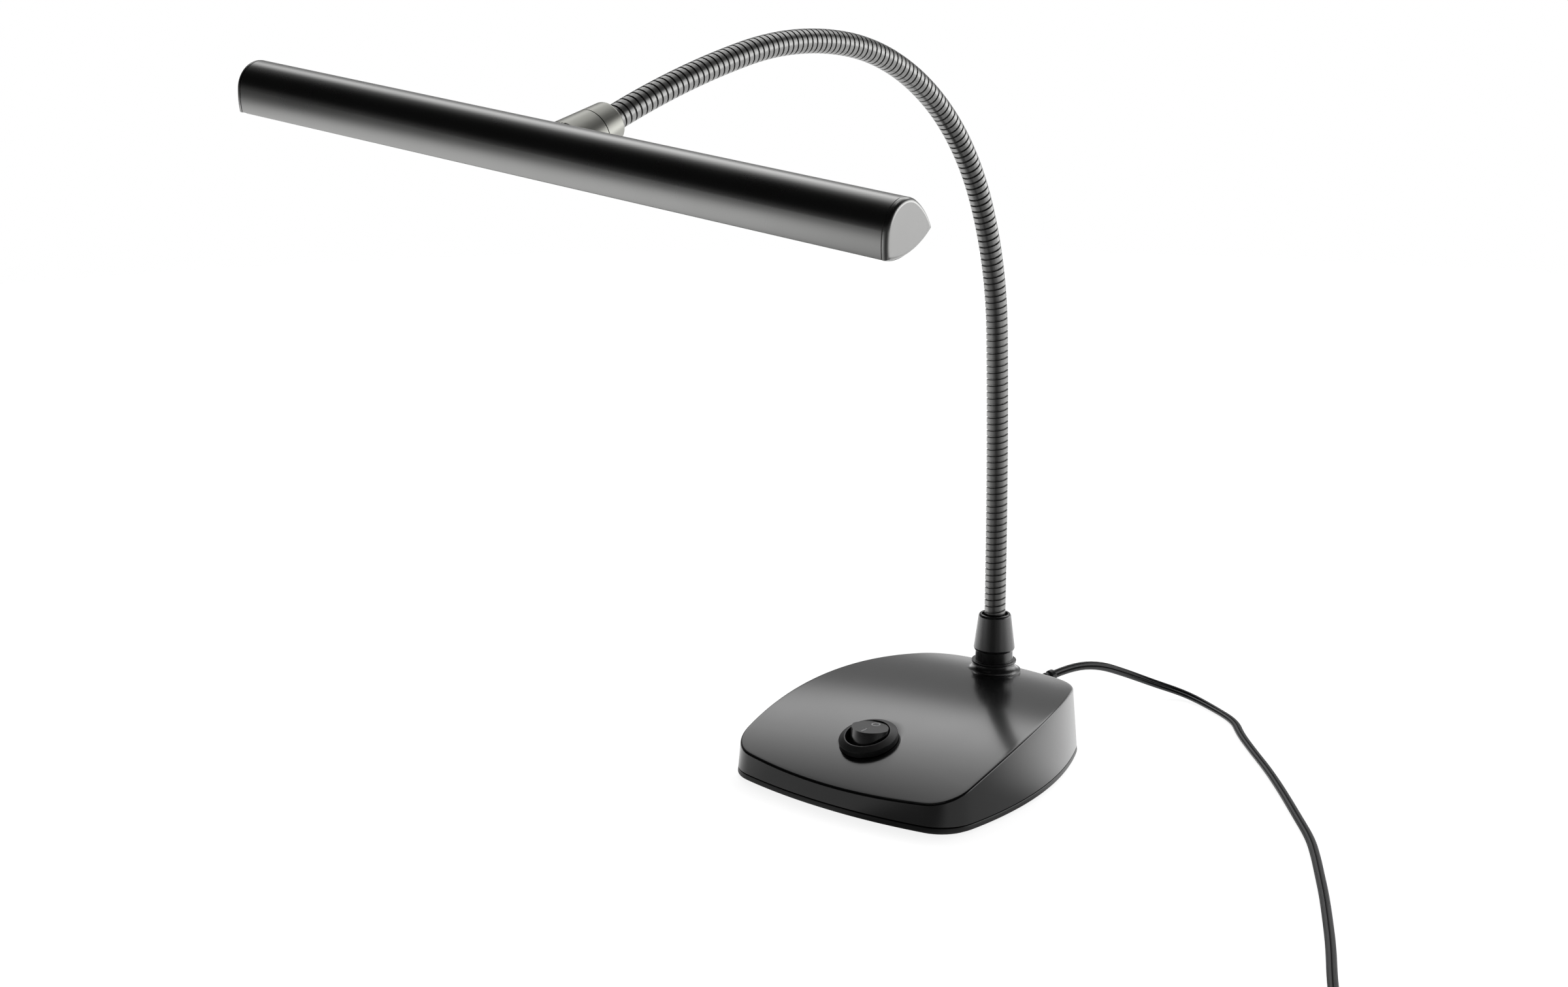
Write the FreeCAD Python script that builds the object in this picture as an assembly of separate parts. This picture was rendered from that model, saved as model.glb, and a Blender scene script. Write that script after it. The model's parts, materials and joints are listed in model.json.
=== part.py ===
import FreeCAD, Part
import math
import os

# Piano lamp: a weighted base with a round rocker switch, a gooseneck that rises from the
# back of the base and arches forward, and a wide bar-shaped lamp head on a swivel.
# Millimetres. +Z is up, +X is across the base, -Y is the front, where the head hangs.
# The origin lies on the table, at the centre of the base's footprint.

V = FreeCAD.Vector
AXIS_X = V(1, 0, 0)
AXIS_Y = V(0, 1, 0)
AXIS_Z = V(0, 0, 1)

# ---------------------------------------------------------------- base: driving sizes
base_half_width = 56.5
base_half_depth = 63.4
base_widest_y = -23.9
side_radius = 166.0
front_radius = 206.0
rear_radius = 151.0
front_corner_radius = 16.6
rear_corner_radius = 23.7
wall_draft = 0.0886
top_apex_y = 24.0
top_apex_height = 29.6
top_radius = 205.0
crown_radius = 1400.0
crease_fillet = 1.2
shell_wall = 2.2
pad_thickness = 1.0
pad_inset = 2.5
plate_thickness = 2.3
plate_edge_fillet = 0.8
seam_chamfer = 0.35
lip_height = 2.0
lip_width = 1.5
slide_clearance = 0.15
body_clearance = 0.3
shaft_clearance = 0.05
cutter_reach = 20.0

# fasteners of the base
boss_x = 35.0
boss_front_y = -36.0
boss_rear_y = 37.0
boss_radius = 3.6
base_screw_radius = 1.5
base_screw_length = 9.0
screw_head_radius = 2.8
screw_head_height = 1.4
screw_end_gap = 1.5

# ballast, board and clamp
ballast_length = 62.0
ballast_depth = 50.0
ballast_height = 12.0
ballast_centre_y = 10.0
ballast_corner = 4.0
ballast_screw_radius = 2.0
ballast_screw_spacing = 54.0
ballast_screw_head_radius = 3.6
ballast_screw_head_height = 1.8
board_length = 44.0
board_depth = 24.0
board_thickness = 1.6
board_centre_y = 1.0
standoff_height = 1.6
standoff_radius = 2.4
small_screw_radius = 1.0
small_screw_reach = 4.0
small_screw_head_radius = 1.9
small_screw_head_height = 1.2
board_screw_spacing = 38.0
inductor_radius = 3.6
inductor_height = 4.2
inductor_flange = 0.8
inductor_waist = 0.9
inductor_spot = V(-9.0, 5.0, 0)
capacitor_radius = 2.5
capacitor_length = 8.0
capacitor_spot = V(5.0, 7.0, 0)
chip_size = V(6.0, 5.0, 1.6)
chip_spot = V(2.0, -4.0, 0)
diode_size = V(4.4, 2.6, 2.0)
diode_spot = V(-7.0, -5.0, 0)
clamp_centre_x = 7.0
clamp_centre_y = 29.0
clamp_length = 17.0
clamp_depth = 6.0
clamp_cap = 1.6
clamp_screw_spacing = 12.0
clamp_slack = 0.1

# ---------------------------------------------------------------- rocker switch
switch_y = -36.0
panel_hole_radius = 10.1
bezel_radius = 11.5
bezel_rim_height = 2.3
bezel_height = 3.6
bezel_lip_width = 0.5
bezel_opening_radius = 8.65
housing_depth = 9.0
housing_floor = 1.4
rocker_gap = 0.35
rocker_pivot_depth = 6.3
rocker_face_height = 7.95
rocker_rest_tilt = 15.5
rocker_skirt_depth = 1.5
rocker_pin_radius = 1.0
rocker_pin_reach = 0.9
terminal_width = 4.8
terminal_thickness = 0.8
terminal_length = 3.8
terminal_spacing = 6.4
plunger_radius = 1.2
plunger_gap = 0.3
contact_height = 1.6
contact_overhang = 1.0
contact_bar_width = 3.0
contact_bar_thickness = 0.7

# ---------------------------------------------------------------- neck
neck_y = 46.7
neck_radius = 4.25
neck_bore_radius = 2.4
ring_pitch = 2.6
groove_width = 0.55
groove_depth = 0.45
neck_foot_z = 44.0
stub_length = 13.0
neck_run_length = 55.0
neck_last_length = 68.0
neck_plug = 4.5
neck_turns = (1.3, 1.7, 20.9, 29.4, 27.4, 19.6, 9.3)
ball_radius = 6.0
lead_radius = 0.6
lead_spacing = 1.5

flange_radius = 10.9
flange_waist_radius = 8.4
flange_rim_height = 0.5
flange_ledge_radius = 9.05
flange_ledge_height = 0.8
flange_height = 4.6
groove_ring_radius = 7.6
groove_ring_height = 4.2
sleeve_foot_radius = 8.35
sleeve_top_radius = 6.5
sleeve_height = 15.2
sleeve_mouth_radius = 5.25
sleeve_mouth_depth = 3.4
sleeve_edge = 0.5
nipple_radius = 5.0
nipple_bore_radius = 2.6
nipple_tail = 1.0
nut_width = 14.0
nut_height = 3.5
washer_radius = 8.2
washer_thickness = 1.0
washer_seat_margin = 1.2

# ---------------------------------------------------------------- head
head_length = 270.4
head_turn_at_rest = -5.9
head_reach = 31.1
head_rise = 4.4
head_wall = 1.6
cap_thickness = 2.0
cap_plug_depth = 5.0
cap_plug_wall = 1.9
cap_edge_fillet = 0.9
front_arc_radius = 30.0
top_arc_radius = 9.0
rear_arc_radius = 22.0
section_centre_v = 1.6
section_centre_w = -1.1
rear_arc_start = 28.0
rear_arc_end = 61.0
front_drop = 8.1
underside_bow = 2.7
lens_wall = 1.4
lens_step = 0.8
lens_lift = 6.0
head_room = 30.0
board_v = 0.2
board_w = -4.8
led_board_width = 8.8
led_board_thickness = 1.2
led_board_end_gap = 14.0
led_count = 20
led_size = 3.0
led_height = 0.7
led_screw_radius = 1.0
led_screw_length = 6.5
led_screw_head_radius = 1.7
led_screw_head_height = 0.8
led_boss_radius = 2.2
led_screw_steps = (-9, -3, 3, 9)

# swivel, by distance along its axis from the collar's rim
collar_length = 8.6
collar_rim_radius = 6.7
collar_rim_fillet = 1.3
cone_slope = 0.105
cone_length = 26.0
cone_flat_w = -4.2
swivel_radius = 2.3
swivel_bore_radius = 1.5
swivel_flange_radius = 5.0
swivel_flange_thickness = 1.1
swivel_washer_thickness = 0.7
swivel_seat = 20.2
swivel_seat_radius = 3.7
swivel_washer_radius = 3.4
swivel_nut_width = 5.4
swivel_nut_height = 2.0
swivel_tail = 0.5

# ---------------------------------------------------------------- cord
cord_tube_radius = 1.2
coil_mean_radius = 19.4
coil_band = 13.0
coil_height = 7.4
coil_lift = 0.7
coil_edge_fillet = 1.2
coil_centre = V(263.0, -118.9, 0)
tie_width = 6.0
tie_thickness = 0.6
tie_slack = 0.4
tie_angle = 205.0
relief_exit = V(1.0, 62.0, 15.6)
relief_end = V(5.5, 82.5, 18.2)
relief_tip_radius = 1.9
relief_collar_radius = 2.5
relief_collar_length = 2.4
relief_flange_radius = 4.2
relief_flange_depth = 4.6
relief_knuckle_gap = 0.8
relief_neck_radius = 2.9
relief_flange_thickness = 1.6
relief_stub_length = 1.2
relief_knuckle_radius = 2.95
relief_tail_radius = 2.65
plug_radius = 5.0
plug_grip_length = 24.0
plug_boot_length = 14.0
plug_boot_radius = 2.0
plug_boot_top_radius = 3.8
plug_edge_fillet = 1.0
plug_barrel_radius = 2.75
plug_barrel_bore_radius = 1.25
plug_barrel_length = 9.5
plug_heading = 39.65

# The lead's route from the strain relief's tip to the coil, and from the coil to the plug.
cord_route = [
    V(5.52, 82.6, 18.21), V(7.9, 93.1, 19.6), V(12.4, 106.8, 17.9), V(17.0, 121.0, 11.6),
    V(24.0, 132.5, 5.6), V(37.0, 138.4, 1.9), V(54.5, 131.4, 1.2), V(69.4, 122.6, 1.2),
    V(78.6, 110.6, 1.2), V(92.5, 96.0, 1.2), V(108.4, 80.0, 1.2), V(124.6, 62.0, 1.2),
    V(141.2, 42.6, 1.2), V(154.6, 27.0, 1.2), V(164.4, 12.6, 1.2), V(173.4, -1.6, 1.2),
    V(182.8, -16.4, 1.2), V(193.4, -34.2, 1.2), V(204.6, -53.4, 1.2), V(217.6, -77.6, 1.2),
    V(228.4, -95.6, 1.4), V(234.4, -108.4, 1.9), V(235.6, -119.5, 2.5),
]
tail_route = [
    V(241.9, -136.4, 5.6), V(248.1, -142.9, 4.6), V(255.4, -149.8, 3.4), V(265.3, -153.9, 3.2),
    V(275.77, -152.44, 5.0), V(281.55, -147.65, 5.0),
]


# ---------------------------------------------------------------- helpers
def export(name, shape):
    shape.exportStep(os.path.join("parts", name + ".step"))
    print("%-18s solids %2d  volume %10.1f" % (name, len(shape.Solids), shape.Volume))


def cylinder(radius, height, base=V(0, 0, 0), direction=AXIS_Z):
    return Part.makeCylinder(radius, height, base, direction)


def cone(radius_low, radius_high, height, base=V(0, 0, 0), direction=AXIS_Z):
    return Part.makeCone(radius_low, radius_high, height, base, direction)


def ring(outer, inner, height, base=V(0, 0, 0), direction=AXIS_Z):
    return cylinder(outer, height, base, direction).cut(cylinder(inner, height, base, direction))


def block(size_x, size_y, size_z, centre_x, centre_y, low_z):
    return Part.makeBox(size_x, size_y, size_z, V(centre_x - size_x / 2, centre_y - size_y / 2, low_z))


def fused(shapes):
    whole = shapes[0]
    for shape in shapes[1:]:
        whole = whole.fuse(shape)
    return whole.removeSplitter()


def arc(centre, radius, angle_from, angle_to):
    """Arc in the XY plane about centre, between two angles in degrees."""
    points = []
    for share in (0.0, 0.5, 1.0):
        angle = math.radians(angle_from + (angle_to - angle_from) * share)
        points.append(centre + V(math.cos(angle), math.sin(angle), 0) * radius)
    return Part.Arc(*points).toShape()


def revolved(profile_rz):
    """Solid of revolution about Z from (radius, height) corners."""
    points = [V(radius, 0, height) for radius, height in profile_rz]
    points.append(points[0])
    return Part.Face(Part.makePolygon(points)).revolve(V(0, 0, 0), AXIS_Z, 360)


def along(start, direction):
    """Placement that carries local +Z from the origin to a direction at start."""
    return FreeCAD.Placement(start, FreeCAD.Rotation(AXIS_Z, direction))


def placed(shape, placement):
    copy = shape.copy()
    copy.Placement = placement.multiply(copy.Placement)
    return copy


def tube(points, radius, label=None):
    """Round lead along straight runs joined by tangent arcs, as large as the runs allow."""
    edges = []
    radii = []
    length = 0.0
    last = points[0]
    for index in range(1, len(points) - 1):
        before = points[index] - points[index - 1]
        after = points[index + 1] - points[index]
        turn = before.getAngle(after)
        reach = 0.45 * min(before.Length, after.Length)
        arc_radius = reach / math.tan(turn / 2)
        start = points[index] - V(before).normalize() * reach
        end = points[index] + V(after).normalize() * reach
        inward = V(after).normalize() - V(before).normalize()
        middle = points[index] + inward.normalize() * (arc_radius / math.cos(turn / 2) - arc_radius)
        edges.append(Part.LineSegment(last, start).toShape())
        edges.append(Part.Arc(start, middle, end).toShape())
        length += last.distanceToPoint(start) + arc_radius * turn
        radii.append(arc_radius)
        last = end
    edges.append(Part.LineSegment(last, points[-1]).toShape())
    length += last.distanceToPoint(points[-1])
    path = Part.Wire(edges)
    disc = Part.Wire(Part.Circle(points[0], points[1] - points[0], radius).toShape())
    solid = path.makePipeShell([disc], True, False)
    if label:
        section = math.pi * radius ** 2
        print("%s: length %.1f, volume ratio %.4f, radii %s" % (
            label, length, solid.Volume / (section * length),
            " ".join("%.0f" % value for value in radii)))
    return solid


# ---------------------------------------------------------------- base: shared forms
front_centre = V(0, front_radius - base_half_depth, 0)
rear_centre = V(0, base_half_depth - rear_radius, 0)
side_centre = V(base_half_width - side_radius, base_widest_y, 0)


def inner_corner(centre_a, radius_a, centre_b, radius_b, corner_radius):
    """Centre of the rounding circle that touches two discs from inside, on the +X side."""
    reach_a = radius_a - corner_radius
    reach_b = radius_b - corner_radius
    gap = centre_b - centre_a
    along_gap = (reach_a ** 2 - reach_b ** 2 + gap.Length ** 2) / (2 * gap.Length)
    aside = math.sqrt(reach_a ** 2 - along_gap ** 2)
    unit = V(gap).normalize()
    foot = centre_a + unit * along_gap
    options = [foot + V(-unit.y, unit.x, 0) * aside, foot - V(-unit.y, unit.x, 0) * aside]
    return max(options, key=lambda point: point.x)


front_corner = inner_corner(front_centre, front_radius, side_centre, side_radius, front_corner_radius)
rear_corner = inner_corner(rear_centre, rear_radius, side_centre, side_radius, rear_corner_radius)


def heading(origin, point):
    return math.degrees(math.atan2(point.y - origin.y, point.x - origin.x))


def outline(inset, z):
    """The base's footprint, drawn in by inset, as a closed wire of tangent arcs at height z."""
    inset = inset + wall_draft * z
    level = V(0, 0, z)
    front_to = heading(front_centre, front_corner)
    side_from = heading(side_centre, front_corner)
    side_to = heading(side_centre, rear_corner)
    rear_from = heading(rear_centre, rear_corner)
    right = [
        arc(front_corner + level, front_corner_radius - inset, front_to, side_from),
        arc(side_centre + level, side_radius - inset, side_from, side_to),
        arc(rear_corner + level, rear_corner_radius - inset, side_to, rear_from),
    ]
    front = arc(front_centre + level, front_radius - inset, -180 - front_to, front_to)
    rear = arc(rear_centre + level, rear_radius - inset, rear_from, 180 - rear_from)
    left = [edge.mirror(V(0, 0, 0), AXIS_X) for edge in reversed(right)]
    return Part.Wire(Part.__sortEdges__([front] + right + [rear] + left))


def base_block(inset, low_z, high_z):
    """Solid with the base's drafted walls between two heights."""
    return Part.makeLoft([outline(inset, low_z), outline(inset, high_z)], True, True)


def under_top(drop):
    """Everything below the base's crowned top, lowered by drop."""
    reach = 2 * base_half_depth
    arc_centre_z = top_apex_height - top_radius
    radius = top_radius - drop
    edge_z = arc_centre_z + math.sqrt(radius ** 2 - reach ** 2)
    low_z = -40.0
    start = V(0, top_apex_y - reach, edge_z)
    middle = V(0, top_apex_y, arc_centre_z + radius)
    end = V(0, top_apex_y + reach, edge_z)
    foot_end = V(0, end.y, low_z)
    foot_start = V(0, start.y, low_z)
    wire = Part.Wire([
        Part.Arc(start, middle, end).toShape(),
        Part.LineSegment(end, foot_end).toShape(),
        Part.LineSegment(foot_end, foot_start).toShape(),
        Part.LineSegment(foot_start, start).toShape(),
    ])
    crown_axis = V(0, 0, top_apex_height - crown_radius)
    half_swing = math.degrees(2 * base_half_width / crown_radius)
    face = Part.Face(wire)
    face.rotate(crown_axis, AXIS_Y, -half_swing)
    return face.revolve(crown_axis, AXIS_Y, 2 * half_swing)


def top_height(x, y, drop=0.0):
    """Height of the crowned top over a point, lowered by drop."""
    sag = top_radius - math.sqrt((top_radius - drop) ** 2 - (y - top_apex_y) ** 2)
    return top_apex_height - crown_radius + math.sqrt((crown_radius - sag) ** 2 - x ** 2)


plate_low_z = pad_thickness
seam_z = plate_low_z + plate_thickness
block_top_z = top_apex_height + 5.0
ballast_top_z = seam_z + ballast_height
board_low_z = ballast_top_z + standoff_height
board_top_z = board_low_z + board_thickness
clamp_height = 2 * cord_tube_radius + clamp_cap
small_hole_depth = small_screw_reach + 1.0

boss_points = [V(side * boss_x, y, 0) for side in (-1, 1) for y in (boss_front_y, boss_rear_y)]
ballast_points = [V(side * ballast_screw_spacing / 2, ballast_centre_y, 0) for side in (-1, 1)]
board_points = [V(side * board_screw_spacing / 2, board_centre_y, 0) for side in (-1, 1)]
clamp_points = [V(clamp_centre_x + side * clamp_screw_spacing / 2, clamp_centre_y, 0) for side in (-1, 1)]

# Switch frame: local z is the outward normal of the top at the switch, local x stays across.
switch_slope = math.degrees(math.asin((switch_y - top_apex_y) / top_radius))
switch_spot = V(0, switch_y, top_height(0, switch_y))
switch_frame = FreeCAD.Placement(switch_spot, FreeCAD.Rotation(AXIS_X, -switch_slope))

neck_spot_z = top_height(0, neck_y)
washer_low_z = top_height(0, neck_y + washer_radius, shell_wall) - washer_thickness


# ---------------------------------------------------------------- base: pieces
def make_base_shell():
    outer = base_block(0.0, seam_z, block_top_z).common(under_top(0.0))
    crease = []
    for edge in outer.Edges:
        spots = [edge.valueAt(edge.FirstParameter + share * (edge.LastParameter - edge.FirstParameter))
                 for share in (0.2, 0.5, 0.8)]
        if all(abs(spot.z - top_height(spot.x, spot.y)) < 0.02 for spot in spots):
            crease.append(edge)
    outer = outer.makeFillet(crease_fillet, crease)
    inner = base_block(shell_wall, seam_z - 1.0, block_top_z).common(under_top(shell_wall))
    shell = outer.cut(inner)
    posts = []
    for point in boss_points:
        post = cylinder(boss_radius, block_top_z, point + V(0, 0, seam_z))
        posts.append(post.common(under_top(shell_wall / 2)))
    shell = fused([shell] + posts)
    for point in boss_points:
        bore = cylinder(base_screw_radius + shaft_clearance, base_screw_length,
                        point + V(0, 0, seam_z - pad_thickness))
        shell = shell.cut(bore)
    switch_bore = placed(cylinder(panel_hole_radius, cutter_reach, V(0, 0, -cutter_reach / 2)), switch_frame)
    neck_bore = cylinder(nipple_radius + shaft_clearance, cutter_reach,
                         V(0, neck_y, neck_spot_z - cutter_reach / 2))
    cord_bore = cylinder(relief_neck_radius, cutter_reach,
                         V(relief_exit.x, relief_exit.y - cutter_reach / 2, relief_exit.z), AXIS_Y)
    # A flat pad inside the neck hole gives the washer a level seat.
    seat = ring(washer_radius + washer_seat_margin, nipple_radius + shaft_clearance, cutter_reach,
                V(0, neck_y, washer_low_z + washer_thickness))
    seat = seat.common(under_top(shell_wall / 2))
    shell = fused([shell, seat])
    shell = shell.cut(switch_bore).cut(neck_bore).cut(cord_bore)
    low_edge = base_block(-1.0, seam_z - 1, seam_z + seam_chamfer).cut(
        base_block(seam_chamfer, seam_z - 1, seam_z + seam_chamfer))
    return shell.cut(low_edge)


def make_bottom_plate():
    plate = base_block(0.0, plate_low_z, seam_z)
    low_edges = [edge for edge in plate.Edges if edge.BoundBox.ZMax < plate_low_z + 0.01]
    plate = plate.makeFillet(plate_edge_fillet, low_edges)
    lip_inset = shell_wall + slide_clearance
    lip = base_block(lip_inset, seam_z - 0.5, seam_z + lip_height).cut(
        base_block(lip_inset + lip_width, seam_z - 1, seam_z + lip_height + 1))
    plate = fused([plate, lip])
    plate = plate.cut(base_block(seam_chamfer * -3, seam_z - seam_chamfer, seam_z + 0.01).cut(
        base_block(seam_chamfer, seam_z - 2, seam_z + 1)))
    for point in boss_points:
        plate = plate.cut(cylinder(base_screw_radius + body_clearance, base_screw_length, point))
        plate = plate.cut(cylinder(screw_head_radius + body_clearance, screw_head_height,
                                   point + V(0, 0, plate_low_z)))
    return plate


def make_base_pad():
    pad = Part.Face(outline(pad_inset, 0.0)).extrude(V(0, 0, pad_thickness))
    return pad


def make_base_screws():
    screws = []
    for point in boss_points:
        head = cylinder(screw_head_radius, screw_head_height, point + V(0, 0, plate_low_z))
        shank = cylinder(base_screw_radius, base_screw_length - screw_end_gap, point + V(0, 0, plate_low_z))
        screws.append(fused([head, shank]))
    return Part.makeCompound(screws)


def make_ballast():
    weight = block(ballast_length, ballast_depth, ballast_height, 0, ballast_centre_y, seam_z)
    upright = [edge for edge in weight.Edges if edge.BoundBox.ZLength > ballast_height - 0.1]
    weight = weight.makeFillet(ballast_corner, upright)
    for point in ballast_points:
        weight = weight.cut(cylinder(ballast_screw_radius + shaft_clearance, ballast_height,
                                     point + V(0, 0, seam_z)))
    for point in board_points + clamp_points:
        weight = weight.cut(cylinder(small_screw_radius + shaft_clearance, small_hole_depth,
                                     point + V(0, 0, ballast_top_z - small_hole_depth)))
    return weight


def make_ballast_screws():
    screws = []
    for point in ballast_points:
        shank = cylinder(ballast_screw_radius, ballast_height, point + V(0, 0, seam_z))
        head = cylinder(ballast_screw_head_radius, ballast_screw_head_height, point + V(0, 0, ballast_top_z))
        screws.append(fused([shank, head]))
    return Part.makeCompound(screws)


def make_driver_board():
    board = block(board_length, board_depth, board_thickness, 0, board_centre_y, board_low_z)
    for point in board_points:
        board = board.cut(cylinder(small_screw_radius + shaft_clearance, cutter_reach,
                                   point + V(0, 0, board_low_z - cutter_reach / 2)))
    return board


def make_board_standoffs():
    return Part.makeCompound([ring(standoff_radius, small_screw_radius + shaft_clearance, standoff_height,
                                   point + V(0, 0, ballast_top_z)) for point in board_points])


def make_small_screws():
    """Identical screws: two through the board's standoffs and two through the cord clamp."""
    screws = []
    seats = [(point, board_top_z) for point in board_points]
    seats += [(point, ballast_top_z + clamp_height) for point in clamp_points]
    for point, seat_z in seats:
        low_z = ballast_top_z - small_screw_reach
        shank = cylinder(small_screw_radius, seat_z - low_z, point + V(0, 0, low_z))
        head = cylinder(small_screw_head_radius, small_screw_head_height, point + V(0, 0, seat_z))
        screws.append(fused([shank, head]))
    return Part.makeCompound(screws)


def make_board_parts():
    """Inductor with a waisted winding, a capacitor lying down, a chip and a diode."""
    on_board = V(0, 0, board_top_z)
    inductor = cylinder(inductor_radius, inductor_height, inductor_spot + on_board)
    waist = ring(inductor_radius, inductor_radius - inductor_waist, inductor_height - 2 * inductor_flange,
                 inductor_spot + on_board + V(0, 0, inductor_flange))
    capacitor = cylinder(capacitor_radius, capacitor_length,
                         capacitor_spot + on_board + V(0, 0, capacitor_radius), AXIS_X)
    chip = block(chip_size.x, chip_size.y, chip_size.z, chip_spot.x, chip_spot.y, board_top_z)
    diode = block(diode_size.x, diode_size.y, diode_size.z, diode_spot.x, diode_spot.y, board_top_z)
    return Part.makeCompound([inductor.cut(waist), capacitor, chip, diode])


def make_cord_clamp():
    low_z = ballast_top_z
    saddle = block(clamp_length, clamp_depth, clamp_height, clamp_centre_x, clamp_centre_y, low_z)
    groove_width = 2 * (cord_tube_radius + clamp_slack)
    groove = block(groove_width, clamp_depth + 2, 2 * cord_tube_radius + shaft_clearance,
                   clamp_centre_x, clamp_centre_y, low_z)
    saddle = saddle.cut(groove)
    for point in clamp_points:
        saddle = saddle.cut(cylinder(small_screw_radius + shaft_clearance, cutter_reach,
                                     point + V(0, 0, low_z - 1)))
    return saddle


def make_supply_lead():
    low_z = ballast_top_z + cord_tube_radius
    points = [
        V(relief_exit.x, relief_exit.y - 6.0, relief_exit.z),
        V(relief_exit.x + 0.8, 50.0, relief_exit.z + 0.3),
        V(clamp_centre_x - 0.3, 41.0, low_z + 0.1),
        V(clamp_centre_x, 33.5, low_z + 0.05),
        V(clamp_centre_x - 0.05, 25.0, low_z + 0.05),
        V(clamp_centre_x - 1.0, 17.0, low_z + 0.4),
    ]
    return tube(points, cord_tube_radius)


# ---------------------------------------------------------------- rocker switch: pieces
def make_switch_body():
    bezel = revolved([
        (bezel_opening_radius, 0.0), (bezel_radius, 0.0), (bezel_radius, bezel_rim_height),
        (bezel_opening_radius + bezel_lip_width, bezel_height), (bezel_opening_radius, bezel_height),
    ])
    housing_radius = panel_hole_radius - 2 * shaft_clearance
    housing = ring(housing_radius, bezel_opening_radius, housing_depth, V(0, 0, -housing_depth))
    floor = cylinder(housing_radius, housing_floor, V(0, 0, -housing_depth - housing_floor))
    body = fused([bezel, housing, floor])
    pin_hole_reach = bezel_opening_radius + rocker_pin_reach + 2 * shaft_clearance
    pin_hole = cylinder(rocker_pin_radius + shaft_clearance, 2 * pin_hole_reach,
                        V(-pin_hole_reach, 0, bezel_height - rocker_pivot_depth), AXIS_X)
    body = body.cut(pin_hole)
    for side in (-1, 0, 1):
        slot = block(terminal_width + 2 * shaft_clearance, terminal_thickness + 2 * shaft_clearance,
                     housing_floor + 2,
                     0, side * terminal_spacing, -housing_depth - housing_floor - 1)
        body = body.cut(slot)
    return placed(body, switch_frame)


def make_rocker():
    """Flat-topped rocker, trimmed so that it clears the opening at both ends of its travel."""
    pivot = V(0, 0, bezel_height - rocker_pivot_depth)
    radius = bezel_opening_radius - rocker_gap
    height = rocker_skirt_depth + rocker_face_height
    low = pivot - V(0, 0, rocker_skirt_depth)
    body = cylinder(radius, height, low)
    for side in (-1, 1):
        travel = cylinder(radius, 4 * height, pivot - V(0, 0, 2 * height))
        travel.rotate(pivot, AXIS_X, side * rocker_rest_tilt)
        body = body.common(travel)
    pin_end = bezel_opening_radius + rocker_pin_reach
    pins = cylinder(rocker_pin_radius, 2 * pin_end, pivot - V(pin_end, 0, 0), AXIS_X)
    tilt = math.radians(rocker_rest_tilt)
    contact_top_z = contact_height + contact_bar_thickness - housing_depth
    plunger_room = pivot.z - contact_top_z - plunger_gap - plunger_radius * math.sin(tilt)
    plunger_length = plunger_room / math.cos(tilt)
    plunger = cylinder(plunger_radius, plunger_length, pivot - V(0, 0, plunger_length))
    body = fused([body, pins, plunger])
    body.rotate(pivot, AXIS_X, -rocker_rest_tilt)
    return placed(body, switch_frame)


def make_switch_contact():
    """See-saw contact bar, resting on the middle terminal and one end terminal."""
    length = 2 * (terminal_spacing + contact_overhang)
    bar = block(contact_bar_width, length, contact_bar_thickness, 0, 0, contact_height - housing_depth)
    return placed(bar, switch_frame)


def make_switch_terminals():
    blades = []
    for side in (-1, 0, 1):
        low_z = -housing_depth - housing_floor - terminal_length
        high_z = contact_height - housing_depth
        blade = block(terminal_width, terminal_thickness, high_z - low_z, 0, side * terminal_spacing, low_z)
        blades.append(blade)
    return placed(Part.makeCompound(blades), switch_frame)


# ---------------------------------------------------------------- neck foot: pieces
flange_top_z = neck_spot_z + flange_height
sleeve_low_z = flange_top_z + groove_ring_height
sleeve_top_z = sleeve_low_z + sleeve_height


def make_neck_flange():
    """Dished flange with a narrow waist, a ledge over it and the groove ring on top."""
    skirt = []
    steps = 6
    low_z = neck_spot_z - flange_height / 2
    ledge_z = flange_top_z - flange_ledge_height
    dish_height = ledge_z - neck_spot_z - flange_rim_height
    for step in range(steps + 1):
        turn = step / steps * math.pi / 2
        radius = flange_radius - (flange_radius - flange_waist_radius) * math.sin(turn)
        skirt.append((radius, neck_spot_z + flange_rim_height + dish_height * (1 - math.cos(turn))))
    profile = [(nipple_radius + shaft_clearance, low_z), (flange_radius, low_z)] + skirt
    profile += [(flange_ledge_radius, ledge_z), (flange_ledge_radius, flange_top_z),
                (groove_ring_radius, flange_top_z), (groove_ring_radius, sleeve_low_z),
                (nipple_radius + shaft_clearance, sleeve_low_z)]
    flange = revolved(profile)
    flange.translate(V(0, neck_y, 0))
    return flange.cut(under_top(0.0))


def make_neck_sleeve():
    inner = nipple_radius + shaft_clearance
    grip = neck_radius + shaft_clearance
    profile = [
        (inner, sleeve_low_z), (sleeve_foot_radius - sleeve_edge, sleeve_low_z),
        (sleeve_foot_radius, sleeve_low_z + sleeve_edge), (sleeve_top_radius, sleeve_top_z - sleeve_edge),
        (sleeve_top_radius - sleeve_edge, sleeve_top_z), (sleeve_mouth_radius, sleeve_top_z),
        (sleeve_mouth_radius, sleeve_top_z - sleeve_mouth_depth),
        (grip, sleeve_top_z - sleeve_mouth_depth - sleeve_edge), (grip, neck_foot_z), (inner, neck_foot_z),
    ]
    sleeve = revolved(profile)
    sleeve.translate(V(0, neck_y, 0))
    return sleeve


nipple_low_z = washer_low_z - nut_height - nipple_tail


def make_neck_nipple():
    return ring(nipple_radius, nipple_bore_radius, neck_foot_z - nipple_low_z, V(0, neck_y, nipple_low_z))


def make_neck_washer():
    return ring(washer_radius, nipple_radius + shaft_clearance, washer_thickness, V(0, neck_y, washer_low_z))


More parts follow.
